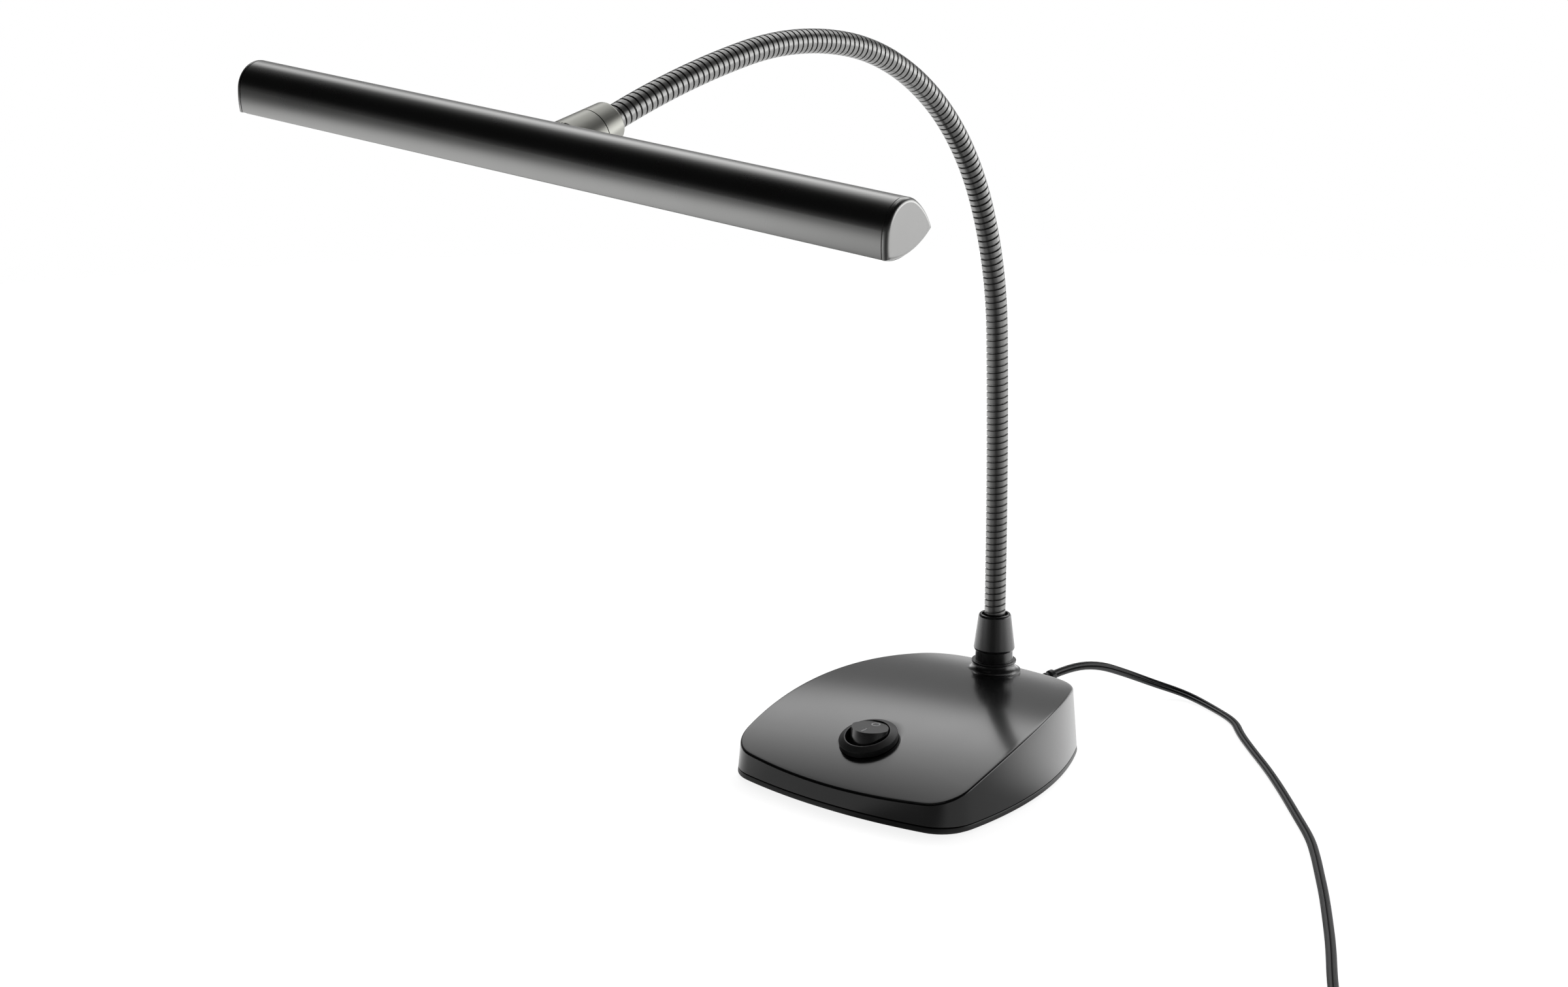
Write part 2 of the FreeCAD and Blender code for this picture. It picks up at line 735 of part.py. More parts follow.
def hexagon(width, bore, height, base):
    corner = width / math.sqrt(3)
    angles = [math.radians(60 * side) for side in range(7)]
    points = [V(corner * math.cos(angle), corner * math.sin(angle), 0) for angle in angles]
    prism = Part.Face(Part.makePolygon(points)).extrude(V(0, 0, height))
    prism.translate(base)
    return prism.cut(cylinder(bore, height, base))


def make_neck_nut():
    point = V(0, neck_y, washer_low_z - nut_height)
    return hexagon(nut_width, nipple_radius + shaft_clearance, nut_height, point)


# ---------------------------------------------------------------- gooseneck
class NeckPath:
    """Neck centre line in the plane X = 0: a straight stub, then arcs that bend forward."""

    def __init__(self):
        lengths = [stub_length] + [neck_run_length] * (len(neck_turns) - 1) + [neck_last_length]
        turns = [0.0] + list(neck_turns)
        self.runs = []
        spot = V(0, neck_y, neck_foot_z)
        lean = 0.0
        for length, turn in zip(lengths, turns):
            run = {"start": spot, "lean": lean, "length": length, "turn": math.radians(turn)}
            self.runs.append(run)
            spot = self.point(run, length)
            lean = lean + run["turn"]
        self.end = spot
        self.end_lean = lean

    def lean_at(self, run, distance):
        return run["lean"] + run["turn"] * distance / run["length"]

    def direction(self, run, distance):
        lean = self.lean_at(run, distance)
        return V(0, -math.sin(lean), math.cos(lean))

    def point(self, run, distance):
        if abs(run["turn"]) < 1e-6:
            return run["start"] + self.direction(run, 0) * distance
        radius = run["length"] / run["turn"]
        lean = self.lean_at(run, distance)
        shift = V(0, math.cos(lean) - math.cos(run["lean"]), math.sin(lean) - math.sin(run["lean"]))
        return run["start"] + shift * radius


neck = NeckPath()
end_direction = neck.direction(neck.runs[-1], neck_last_length)
last_run = len(neck.runs) - 1


def plugged(bar, radius, aside=0.0):
    """Adds the straight end that the last run of the neck leaves inside the collar."""
    return bar.fuse(cylinder(radius, neck_plug, neck.end + V(aside, 0, 0), end_direction))


def swept(run, low, high, radius, aside=0.0):
    """Round bar along one run of the neck, from one distance to another, set aside in X."""
    start = neck.point(run, low)
    circle = Part.Circle(start + V(aside, 0, 0), neck.direction(run, low), radius)
    disc = Part.Face(Part.Wire(circle.toShape()))
    if abs(run["turn"]) < 1e-6:
        return disc.extrude(neck.direction(run, low) * (high - low))
    bend_radius = run["length"] / run["turn"]
    centre = run["start"] + V(0, -math.cos(run["lean"]), -math.sin(run["lean"])) * bend_radius
    return disc.revolve(centre, AXIS_X, math.degrees((high - low) / bend_radius))


def ball_ends(shape, index):
    """Cups the far end of a neck piece and rounds its near end, as a ball and socket."""
    run = neck.runs[index]
    if index + 1 < len(neck.runs):
        far = neck.runs[index + 1]["start"]
        shape = shape.cut(Part.makeSphere(ball_radius, far))
    if index > 0:
        near = run["start"]
        back = neck.direction(run, 0) * -1
        beyond = cylinder(3 * neck_radius, 3 * ball_radius, near, back)
        shape = shape.cut(beyond.cut(Part.makeSphere(ball_radius - body_clearance, near)))
    return shape


def neck_span(index):
    low = -ball_radius if index > 0 else 0.0
    return low, neck.runs[index]["length"]


def make_gooseneck(index):
    run = neck.runs[index]
    low, high = neck_span(index)
    bar = swept(run, low, high, neck_radius)
    bore = swept(run, low, high, neck_bore_radius)
    if index == last_run:
        bar = plugged(bar, neck_radius)
        bore = plugged(bore, neck_bore_radius)
    bar = bar.cut(bore)
    grooves = []
    first = int(math.ceil((low + groove_width) / ring_pitch))
    last = int(math.floor((high - groove_width) / ring_pitch))
    for count in range(first, last + 1):
        distance = count * ring_pitch - groove_width / 2
        grooves.append(ring(neck_radius + 1.0, neck_radius - groove_depth, groove_width,
                            neck.point(run, distance), neck.direction(run, distance)))
    bar = bar.cut(Part.makeCompound(grooves))
    return ball_ends(bar, index)


def make_neck_leads(index):
    run = neck.runs[index]
    low, high = neck_span(index)
    leads = []
    for side in (-1, 1):
        aside = side * lead_spacing / 2
        lead = swept(run, low, high, lead_radius, aside)
        if index == last_run:
            lead = plugged(lead, lead_radius, aside)
        leads.append(ball_ends(lead, index))
    return Part.makeCompound(leads)


# ---------------------------------------------------------------- swivel and head
# Head frame: x along the head, y (v) to the back, z (w) up; then turned about the swivel axis.
swivel_start = neck.end
head_centre = swivel_start + end_direction * head_reach + V(0, 0, head_rise)
head_turned = FreeCAD.Placement(V(0, 0, 0), FreeCAD.Rotation(end_direction, head_turn_at_rest), swivel_start)
head_placement = head_turned.multiply(FreeCAD.Placement(head_centre, FreeCAD.Rotation()))
swivel_frame = head_turned.multiply(along(swivel_start, end_direction))
head_swivel_frame = head_placement.inverse().multiply(swivel_frame)

flange_low = collar_length - body_clearance - swivel_flange_thickness
washer_low = flange_low + swivel_flange_thickness + shaft_clearance
cone_low = collar_length + body_clearance
swivel_end = swivel_seat + swivel_washer_thickness + swivel_nut_height + swivel_tail
half_head = head_length / 2
shell_half = half_head - cap_thickness
led_pitch = (head_length - 2 * led_board_end_gap) / led_count
led_screw_x = [step * led_pitch for step in led_screw_steps]


def cone_radius(distance):
    return collar_rim_radius + cone_slope * distance


def section_arcs(inset):
    """Front, top and rear arcs of the head's section, drawn in by inset, and its low corners."""
    centre = V(0, section_centre_v, section_centre_w)
    lean = math.radians(rear_arc_start)
    rear_middle = centre - V(0, math.sin(lean), math.cos(lean)) * (rear_arc_radius - top_arc_radius)
    front_middle = centre + V(0, front_arc_radius - top_arc_radius, 0)
    dip = -90 - math.degrees(math.asin(front_drop / front_arc_radius))

    def span(middle, radius, degrees_from, degrees_to):
        points = []
        for share in (0.0, 0.5, 1.0):
            angle = math.radians(degrees_from + (degrees_to - degrees_from) * share)
            points.append(middle + V(0, math.sin(angle), math.cos(angle)) * (radius - inset))
        return Part.Arc(*points).toShape(), points[0], points[2]

    rear, tip, _ = span(rear_middle, rear_arc_radius, rear_arc_end, rear_arc_start)
    top, _, _ = span(centre, top_arc_radius, rear_arc_start, -90)
    front, _, foot = span(front_middle, front_arc_radius, -90, dip)
    return [rear, top, front], foot, tip


def underside_arc(foot, tip, drop):
    chord = tip - foot
    downward = V(0, chord.z, -chord.y).normalize()
    return Part.Arc(foot, (foot + tip) * 0.5 + downward * underside_bow + V(0, 0, -drop), tip).toShape()


def head_bar(inset, half, drop=0.0):
    """Filled bar with the head's section; drop lets its bowed underside down."""
    edges, foot, tip = section_arcs(inset)
    face = Part.Face(Part.Wire(edges + [underside_arc(foot, tip, drop)]))
    face.translate(V(-half, 0, 0))
    return face.extrude(V(2 * half, 0, 0))


def below_underside(lift, half):
    """Everything below the bowed underside raised by lift, between x = -half and half."""
    _, foot, tip = section_arcs(0.0)
    up = V(0, 0, lift)
    out = V(0, head_room / 2, 0)
    down = V(0, 0, head_room)
    bow = underside_arc(foot, tip, 0.0)
    bow.translate(up)
    corners = [tip + up, tip + up + out, tip + up + out - down]
    corners += [foot + up - out - down, foot + up - out, foot + up]
    lines = [Part.LineSegment(a, b).toShape() for a, b in zip(corners, corners[1:])]
    face = Part.Face(Part.Wire([bow] + lines))
    face.translate(V(-half, 0, 0))
    return face.extrude(V(2 * half, 0, 0))


def cut_to_x(shape, low_x, high_x):
    length = high_x - low_x
    return shape.common(Part.makeBox(length, 2 * head_room, 2 * head_room, V(low_x, -head_room, -head_room)))


def in_swivel(shape):
    """Carries a shape drawn along the swivel axis (local z) into the head frame."""
    return placed(shape, head_swivel_frame)


def make_head_shell():
    shell = head_bar(0.0, shell_half).cut(head_bar(head_wall, half_head, lens_lift))
    inside = head_bar(head_wall / 2, shell_half)
    posts = []
    for x in led_screw_x:
        post = cylinder(led_boss_radius, cutter_reach, V(x, board_v, board_w + led_board_thickness))
        posts.append(post.common(inside))
    pad = in_swivel(cylinder(swivel_seat_radius, swivel_seat)).common(inside)
    pad = pad.cut(below_underside(lens_wall + body_clearance, half_head))
    shell = fused([shell, pad] + posts)
    for x in led_screw_x:
        shell = shell.cut(cylinder(led_screw_radius + shaft_clearance, led_screw_length + screw_end_gap / 3,
                                   V(x, board_v, board_w)))
    shell = shell.cut(in_swivel(cylinder(swivel_radius + shaft_clearance, swivel_end)))
    return placed(shell, head_placement)


def make_end_cap(side):
    plate = cut_to_x(head_bar(0.0, half_head), shell_half, half_head)
    rim = [edge for edge in plate.Edges if edge.BoundBox.XMin > half_head - 0.01]
    plate = plate.makeFillet(cap_edge_fillet, rim)
    plug = cut_to_x(head_bar(head_wall + slide_clearance, half_head), shell_half - cap_plug_depth,
                    half_head - cap_thickness / 2)
    plug = plug.cut(below_underside(lens_wall + body_clearance, half_head))
    hollow = cut_to_x(head_bar(head_wall + cap_plug_wall, half_head), 0, shell_half)
    plug = plug.cut(hollow.cut(below_underside(lens_wall + body_clearance + cap_plug_wall / 2, half_head)))
    cap = fused([plate, plug])
    if side < 0:
        cap = cap.mirror(V(0, 0, 0), AXIS_X)
    return placed(cap, head_placement)


def make_lens():
    half = shell_half - shaft_clearance
    lens = head_bar(head_wall + slide_clearance, half, lens_step).common(below_underside(lens_wall, half))
    pocket_radius = swivel_washer_radius + body_clearance
    pocket = cylinder(pocket_radius, swivel_end - swivel_seat + 3 * body_clearance,
                      V(0, 0, swivel_seat - 2 * body_clearance))
    lens = lens.cut(in_swivel(pocket))
    return placed(lens, head_placement)


def make_led_board():
    length = head_length - 2 * led_board_end_gap
    board = block(length, led_board_width, led_board_thickness, 0, board_v, board_w)
    for x in led_screw_x:
        board = board.cut(cylinder(led_screw_radius + shaft_clearance, cutter_reach,
                                   V(x, board_v, board_w - cutter_reach / 2)))
    return placed(board, head_placement)


def make_led_screws():
    screws = []
    for x in led_screw_x:
        shank = cylinder(led_screw_radius, led_screw_length, V(x, board_v, board_w))
        head = cylinder(led_screw_head_radius, led_screw_head_height,
                        V(x, board_v, board_w - led_screw_head_height))
        screws.append(fused([shank, head]))
    return placed(Part.makeCompound(screws), head_placement)


def make_leds():
    chips = []
    for count in range(led_count):
        x = (count - (led_count - 1) / 2) * led_pitch
        chips.append(block(led_size, led_size, led_height, x, board_v, board_w - led_height))
    return placed(Part.makeCompound(chips), head_placement)


def make_head_leads():
    leads = []
    start = head_swivel_frame.multVec(V(0, 0, swivel_end + body_clearance))
    board_top = board_w + led_board_thickness
    for side in (-1, 1):
        x = side * lead_spacing / 2
        points = [
            V(x, start.y, start.z), V(x * 1.5, start.y - 1.8, start.z - 0.1),
            V(x * 3.0, 3.6, board_top + 1.6), V(x * 4.0, 2.6, board_top + lead_radius),
        ]
        leads.append(tube(points, lead_radius))
    return placed(Part.makeCompound(leads), head_placement)


def make_neck_collar():
    rim_radius = cone_radius(collar_length)
    profile = [(0, 0), (collar_rim_radius, 0), (rim_radius, collar_length), (0, collar_length)]
    body = revolved(profile)
    rim = [edge for edge in body.Edges
           if edge.BoundBox.ZMax < 0.01 and edge.BoundBox.XLength > collar_rim_radius]
    body = body.makeFillet(collar_rim_fillet, rim)
    body = body.cut(cylinder(neck_radius + shaft_clearance, neck_plug + shaft_clearance))
    body = body.cut(cylinder(swivel_radius, collar_length))
    body = body.cut(cylinder(swivel_flange_radius + shaft_clearance, collar_length, V(0, 0, flange_low)))
    return placed(body, along(swivel_start, end_direction))


def make_swivel_tube():
    tube_body = fused([
        cylinder(swivel_flange_radius, swivel_flange_thickness, V(0, 0, flange_low)),
        cylinder(swivel_radius, swivel_end - flange_low, V(0, 0, flange_low)),
    ])
    tube_body = tube_body.cut(cylinder(swivel_bore_radius, swivel_end))
    return placed(tube_body, along(swivel_start, end_direction))


def make_swivel_washers():
    friction = ring(swivel_flange_radius - 2 * shaft_clearance, swivel_radius + shaft_clearance,
                    swivel_washer_thickness, V(0, 0, washer_low))
    inner = ring(swivel_washer_radius, swivel_radius + shaft_clearance,
                 swivel_washer_thickness - shaft_clearance, V(0, 0, swivel_seat + shaft_clearance))
    return placed(Part.makeCompound([friction, inner]), along(swivel_start, end_direction))


def make_swivel_nut():
    nut = hexagon(swivel_nut_width, swivel_radius, swivel_nut_height,
                  V(0, 0, swivel_seat + swivel_washer_thickness + shaft_clearance))
    return placed(nut, along(swivel_start, end_direction))


def make_swivel_leads():
    leads = []
    low = neck_plug
    for side in (-1, 1):
        leads.append(cylinder(lead_radius, swivel_end - low, V(side * lead_spacing / 2, 0, low)))
    return placed(Part.makeCompound(leads), along(swivel_start, end_direction))


def make_head_cone():
    body = cone(cone_radius(cone_low), cone_radius(cone_length), cone_length - cone_low, V(0, 0, cone_low))
    body = body.cut(cylinder(swivel_radius + shaft_clearance, cone_length))
    recess_depth = washer_low + swivel_washer_thickness + shaft_clearance - cone_low
    body = body.cut(cylinder(swivel_flange_radius, recess_depth, V(0, 0, cone_low)))
    body = in_swivel(body).cut(head_bar(0.0, shell_half))
    room = Part.makeBox(2 * head_room, 2 * head_room, 2 * head_room, V(-head_room, 0, cone_flat_w))
    body = body.common(room)
    solid = max(body.Solids, key=lambda item: item.Volume)
    return placed(solid, head_placement)


# ---------------------------------------------------------------- leads inside the base
def make_lamp_leads():
    """Two leads from the board, over the nipple's lower end, up to the foot of the gooseneck."""
    leads = []
    for side in (-1, 1):
        x = side * lead_spacing / 2
        points = [
            V(-12.0 + side * 1.5, board_centre_y + board_depth / 2 - 2.0, board_top_z + lead_radius),
            V(-11.0 + side * 1.5, board_centre_y + board_depth / 2 + 5.0, board_top_z + lead_radius + 0.2),
            V(-7.0 + side, 25.5, board_top_z - 0.6),
            V(-3.0 + x, 37.0, nipple_low_z - 2.2),
            V(x, neck_y, nipple_low_z - 1.2),
            V(x, neck_y, nipple_low_z + 9.0),
            V(x * 1.01, neck_y, neck_foot_z),
        ]
        leads.append(tube(points, lead_radius))
    return Part.makeCompound(leads)


def make_switch_leads():
    leads = []
    tip = switch_frame.multVec(V(0, 0, -housing_depth - housing_floor - terminal_length))
    for side in (0, 1):
        foot = switch_frame.multVec(V(1.4, side * terminal_spacing, -housing_depth - housing_floor - 2.0))
        foot = foot + V(0, 0.5 + lead_radius, 0)
        points = [
            foot, foot + V(5.0, 1.0, -0.6),
            V(13.5 + side * 2, -22.0 + side, seam_z + 5.0),
            V(13.0 + side * 2, -17.5, ballast_top_z - 2.0),
            V(12.0 + side * 2, -15.5, board_top_z + 1.0),
            V(12.0 + side * 2, board_centre_y - board_depth / 2 + 2.0, board_top_z + lead_radius),
        ]
        leads.append(tube(points, lead_radius))
    return Part.makeCompound(leads)


# ---------------------------------------------------------------- cord and what is on it
def make_strain_relief():
    """Moulded relief: a flange inside the wall, a neck through it, and a tapered tail with a collar."""
    fitted_radius = relief_neck_radius - shaft_clearance
    root = relief_exit + V(0, relief_knuckle_gap, 0)
    direction = (relief_end - root).normalize()
    tail_length = root.distanceToPoint(relief_end)
    flange_y = relief_exit.y - relief_flange_depth
    inner_y = flange_y - relief_stub_length
    flange = cylinder(relief_flange_radius, relief_flange_thickness, V(root.x, flange_y, root.z), AXIS_Y)
    through = cylinder(fitted_radius, root.y - inner_y, V(root.x, inner_y, root.z), AXIS_Y)
    knuckle = Part.makeSphere(relief_knuckle_radius, root)
    tail = cone(relief_tail_radius, relief_tip_radius, tail_length, root, direction)
    collar = cylinder(relief_collar_radius, relief_collar_length,
                      root + direction * (tail_length - relief_collar_length), direction)
    return fused([flange, through, knuckle, tail, collar])


def make_cord():
    return tube(cord_route, cord_tube_radius, "cord")


def make_cord_coil():
    low = V(coil_centre.x, coil_centre.y, coil_lift)
    coil = ring(coil_mean_radius + coil_band / 2, coil_mean_radius - coil_band / 2, coil_height, low)
    edges = [edge for edge in coil.Edges if edge.BoundBox.ZLength < 0.01]
    return coil.makeFillet(coil_edge_fillet, edges)


def make_coil_tie():
    span = coil_band + 2 * tie_slack
    low_x = coil_mean_radius - span / 2
    inner = Part.makeBox(span, tie_width, coil_height + 2 * shaft_clearance,
                         V(low_x, -tie_width / 2, -shaft_clearance))
    outer = Part.makeBox(span + 2 * tie_thickness, tie_width, coil_height + 2 * tie_thickness,
                         V(low_x - tie_thickness, -tie_width / 2, -tie_thickness))
    tie = outer.cut(inner)
    tie.rotate(V(0, 0, 0), AXIS_Z, tie_angle)
    tie.translate(V(coil_centre.x, coil_centre.y, coil_lift))
    return tie


plug_direction = V(math.cos(math.radians(plug_heading)), math.sin(math.radians(plug_heading)), 0)


def plug_point(distance):
    return tail_route[-1] + plug_direction * distance


def make_cord_tail():
    """Lead from the side of the coil down to the plug."""
    return tube(tail_route, cord_tube_radius, "tail")


def make_plug_grip():
    boot = cone(plug_boot_radius, plug_boot_top_radius, plug_boot_length, plug_point(0), plug_direction)
    grip = cylinder(plug_radius, plug_grip_length, plug_point(plug_boot_length), plug_direction)
    rims = [edge for edge in grip.Edges if edge.Closed]
    grip = grip.makeFillet(plug_edge_fillet, rims)
    return fused([boot, grip])


def make_plug_barrel():
    start = plug_point(plug_boot_length + plug_grip_length)
    return ring(plug_barrel_radius, plug_barrel_bore_radius, plug_barrel_length, start, plug_direction)


# ---------------------------------------------------------------- write every piece
os.makedirs("parts", exist_ok=True)

export("base_shell", make_base_shell())
export("bottom_plate", make_bottom_plate())
export("base_pad", make_base_pad())
export("base_screws", make_base_screws())
export("ballast_weight", make_ballast())
export("ballast_screws", make_ballast_screws())
export("driver_board", make_driver_board())
export("board_standoffs", make_board_standoffs())
export("small_screws", make_small_screws())
export("board_parts", make_board_parts())
export("cord_clamp", make_cord_clamp())
export("supply_lead", make_supply_lead())
export("switch_body", make_switch_body())
export("rocker", make_rocker())
export("switch_contact", make_switch_contact())
export("switch_terminals", make_switch_terminals())
export("switch_leads", make_switch_leads())
export("lamp_leads", make_lamp_leads())
export("neck_flange", make_neck_flange())
export("neck_sleeve", make_neck_sleeve())
export("neck_nipple", make_neck_nipple())
export("neck_washer", make_neck_washer())
export("neck_nut", make_neck_nut())
for index in range(len(neck.runs)):
    export("gooseneck_%d" % index, make_gooseneck(index))
    export("neck_leads_%d" % index, make_neck_leads(index))
export("neck_collar", make_neck_collar())
export("swivel_tube", make_swivel_tube())
export("swivel_washers", make_swivel_washers())
export("swivel_nut", make_swivel_nut())
export("swivel_leads", make_swivel_leads())
export("head_cone", make_head_cone())
export("head_shell", make_head_shell())
export("end_cap_right", make_end_cap(1))
export("end_cap_left", make_end_cap(-1))
export("lens", make_lens())
export("led_board", make_led_board())
export("led_screws", make_led_screws())
export("led_chips", make_leds())
export("head_leads", make_head_leads())
export("strain_relief", make_strain_relief())
export("cord", make_cord())
export("cord_coil", make_cord_coil())
export("coil_tie", make_coil_tie())
export("cord_tail", make_cord_tail())
export("plug_grip", make_plug_grip())
export("plug_barrel", make_plug_barrel())

for index, run in enumerate(neck.runs):
    print("neck joint %d at y %.3f z %.3f lean %.3f" % (
        index, run["start"].y, run["start"].z, math.degrees(run["lean"])))
print("neck end y %.3f z %.3f lean %.3f" % (neck.end.y, neck.end.z, math.degrees(neck.end_lean)))
pivot = switch_frame.multVec(V(0, 0, bezel_height - rocker_pivot_depth))
print("rocker pivot y %.3f z %.3f, switch slope %.3f" % (pivot.y, pivot.z, switch_slope))
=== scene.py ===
"""Piano lamp: a weighted black base with a round rocker switch, a wound gooseneck and a long bar head."""

import json
import math
from types import SimpleNamespace

import bmesh
import bpy
from bpy.props import FloatProperty, FloatVectorProperty, IntProperty, PointerProperty
from mathutils import Matrix, Vector


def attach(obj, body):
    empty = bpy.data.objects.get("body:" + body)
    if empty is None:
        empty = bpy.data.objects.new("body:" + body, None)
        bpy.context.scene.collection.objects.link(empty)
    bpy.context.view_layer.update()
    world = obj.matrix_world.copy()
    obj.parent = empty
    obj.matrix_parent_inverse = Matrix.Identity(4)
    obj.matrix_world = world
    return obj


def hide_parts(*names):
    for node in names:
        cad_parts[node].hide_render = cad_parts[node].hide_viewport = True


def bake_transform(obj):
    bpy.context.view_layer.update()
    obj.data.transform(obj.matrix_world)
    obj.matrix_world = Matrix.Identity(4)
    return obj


bl_info = {
    "name": "Piano lamp",
    "version": (1, 0, 0),
    "blender": (4, 5, 0),
    "location": "3D View > Sidebar > Piano lamp",
    "description": "Builds a piano lamp around its CAD frame, with its materials and its studio",
    "category": "Object",
}

MM = 0.001
AXIS_X = Vector((1, 0, 0))
AXIS_Z = Vector((0, 0, 1))

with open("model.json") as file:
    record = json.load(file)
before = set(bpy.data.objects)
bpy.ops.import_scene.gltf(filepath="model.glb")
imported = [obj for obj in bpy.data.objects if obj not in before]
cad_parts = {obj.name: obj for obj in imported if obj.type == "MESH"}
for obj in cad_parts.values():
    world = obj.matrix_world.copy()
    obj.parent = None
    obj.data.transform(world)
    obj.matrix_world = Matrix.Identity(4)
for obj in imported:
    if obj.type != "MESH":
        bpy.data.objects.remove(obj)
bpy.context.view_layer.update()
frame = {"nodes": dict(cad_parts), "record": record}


# ---------------------------------------------------------------- sizes and colours
def linear(code):
    """Linear colour of an sRGB hex code."""
    channels = [int(code[k:k + 2], 16) / 255 for k in (1, 3, 5)]
    return [c / 12.92 if c <= 0.04045 else ((c + 0.055) / 1.055) ** 2.4 for c in channels]


def length(text, millimetres):
    """Length for the panel, written in millimetres and kept in metres."""
    return FloatProperty(description=text, default=millimetres * MM, unit="LENGTH", precision=5)


def angle(text, degrees):
    """Angle for the panel, written in degrees and kept in radians."""
    return FloatProperty(description=text, default=math.radians(degrees), unit="ROTATION")


def level(text, value):
    """Brightness for the panel, where 1 is the white of the backdrop."""
    return FloatProperty(description=text, default=value, min=0.0)


def colour(text, code):
    """Colour for the panel, written as an sRGB hex code."""
    return FloatVectorProperty(description=text, default=linear(code), subtype="COLOR", size=3, min=0.0, max=1.0)


class LampBaseSizes(bpy.types.PropertyGroup):
    half_width: length("From the middle to the side at its widest", 56.5)
    half_depth: length("From the middle to the front or the rear", 63.4)
    widest: length("Where the base is widest, along the depth", -23.9)
    side_radius: length("Radius of the long side walls", 166.0)
    front_radius: length("Radius of the front wall", 206.0)
    rear_radius: length("Radius of the rear wall", 151.0)
    front_corner: length("Rounding between the front and the sides", 16.6)
    rear_corner: length("Rounding between the rear and the sides", 23.7)
    top_height: length("Highest point of the crowned top", 29.6)
    top_place: length("Where the top is highest, along the depth", 24.0)
    top_radius: length("Radius of the top from front to rear", 205.0)
    crown_radius: length("Radius of the top from side to side", 1400.0)
    crease: length("Rounding of the edge between top and walls", 0.8)
    wall: length("Thickness of the moulding", 2.2)
    seam: length("Height of the seam over the table", 3.3)
    seam_chamfer: length("Chamfer on each side of the seam", 0.35)
    pad: length("Thickness of the rubber pad", 1.0)
    pad_inset: length("How far the pad stays inside the plate", 2.5)
    draft: FloatProperty(description="Slope of the walls, as inset by height", default=0.0886)


class LampSwitchSizes(bpy.types.PropertyGroup):
    place: length("Centre of the switch, along the depth", -36.0)
    hole: length("Radius of the hole in the base", 10.1)
    bezel: length("Outer radius of the bezel", 11.5)
    rim: length("Height of the bezel's straight rim", 2.3)
    height: length("Height of the bezel", 3.6)
    lip: length("Width of the bezel's flat lip", 0.5)
    opening: length("Radius of the opening round the rocker", 8.65)
    depth: length("Depth of the housing under the panel", 10.4)
    floor: length("Thickness of the housing's floor", 1.4)
    pivot: length("How far the rocker's pivot lies under the bezel's lip", 6.3)
    face: length("Height of the rocker's face over its pivot", 7.95)
    mark_place: length("From the middle of the rocker's face to the middle of a mark", 3.68)
    mark_radius: length("Outer radius of the off ring", 1.8)
    mark_bar: length("Length of the on bar", 3.3)
    mark_line: length("Width of the printed lines", 0.65)
    tilt: angle("Slope of the rocker's face at rest", 15.5)


class LampFootSizes(bpy.types.PropertyGroup):
    bore: length("Radius of the foot's bore", 5.1)
    flange: length("Radius of the flange on the base", 10.9)
    waist: length("Radius of the dish over the flange at its narrowest", 8.4)
    sink: length("How far the foot goes into the base", 1.2)
    rim: length("Height of the flange's rim", 0.5)
    dish: length("Height of the dish over the rim", 3.3)
    ledge: length("Radius of the ledge over the dish", 9.05)
    ledge_height: length("Height of the ledge", 0.8)
    spigot: length("Radius of the part between the ledge and the sleeve", 7.6)
    height: length("Height of the foot over the base", 8.8)
    sleeve: length("Radius of the sleeve at its widest", 8.35)
    sleeve_bore: length("Radius of the bore in the sleeve's foot", 5.05)
    sleeve_chamfer: length("Height of the chamfer under the sleeve's widest place", 0.9)
    sleeve_top: length("Radius of the sleeve under its rounded top", 6.6)
    sleeve_height: length("Height of the sleeve", 15.2)
    mouth: length("Radius of the recess in the sleeve's top", 5.25)
    mouth_depth: length("Depth of the recess in the sleeve's top", 3.4)


class LampNeckSizes(bpy.types.PropertyGroup):
    place: length("Where the neck stands, along the depth", 46.7)
    foot: length("Height of the neck's lower end", 44.0)
    radius: length("Outer radius of the gooseneck", 4.25)
    pitch: length("Distance from one turn of the strip to the next", 2.6)
    groove: length("Width of the groove between two turns", 0.48)
    groove_depth: length("Depth of the groove between two turns", 0.6)
    edge: length("Chamfer of the strip's edges", 0.15)
    strip: length("Thickness of the strip under the groove", 0.6)
    stub: length("Straight length in the sleeve", 13.0)
    run: length("Length between two bends of the neck", 55.0)
    last_run: length("Length from the last bend to the collar", 68.0)
    tuck: length("How far the winding goes into the collar", 4.0)
    steps: IntProperty(description="Faces in one turn of the strip", default=24, min=12)


class LampHeadSizes(bpy.types.PropertyGroup):
    length: length("Length of the head over its caps", 270.4)
    cap: length("Thickness of an end cap", 2.0)
    cap_edge: length("Rounding of the cap's outer edge", 1.4)
    wall: length("Thickness of the extrusion", 1.6)
    top_radius: length("Radius of the section's top", 9.0)
    rear_radius: length("Radius of the section's rear", 22.0)
    front_radius: length("Radius of the section's front", 30.0)
    front_drop: length("How far the front reaches below the section's centre", 8.1)
    bow: length("How far the underside bows down", 2.7)
    lens: length("Thickness of the diffuser", 1.4)
    lens_step: length("How far the diffuser stands below the edges", 0.8)
    collar: length("Length of the collar on the neck", 8.6)
    collar_radius: length("Radius of the collar's rim", 6.7)
    collar_bore: length("Radius of the collar's bore", 4.35)
    collar_edge: length("Rounding of the collar's rim", 1.3)


class LampLeadSizes(bpy.types.PropertyGroup):
    width: length("Width of the flat twin lead", 3.6)
    thickness: length("Thickness of the flat twin lead", 1.9)
    web: length("Thickness of the web between the two cores", 0.6)
    coil_radius: length("Radius at the middle of the coil's turns", 19.4)
    plug_radius: length("Radius of the plug's grip", 5.0)
    plug_length: length("Length of the plug's grip with its boot", 38.0)


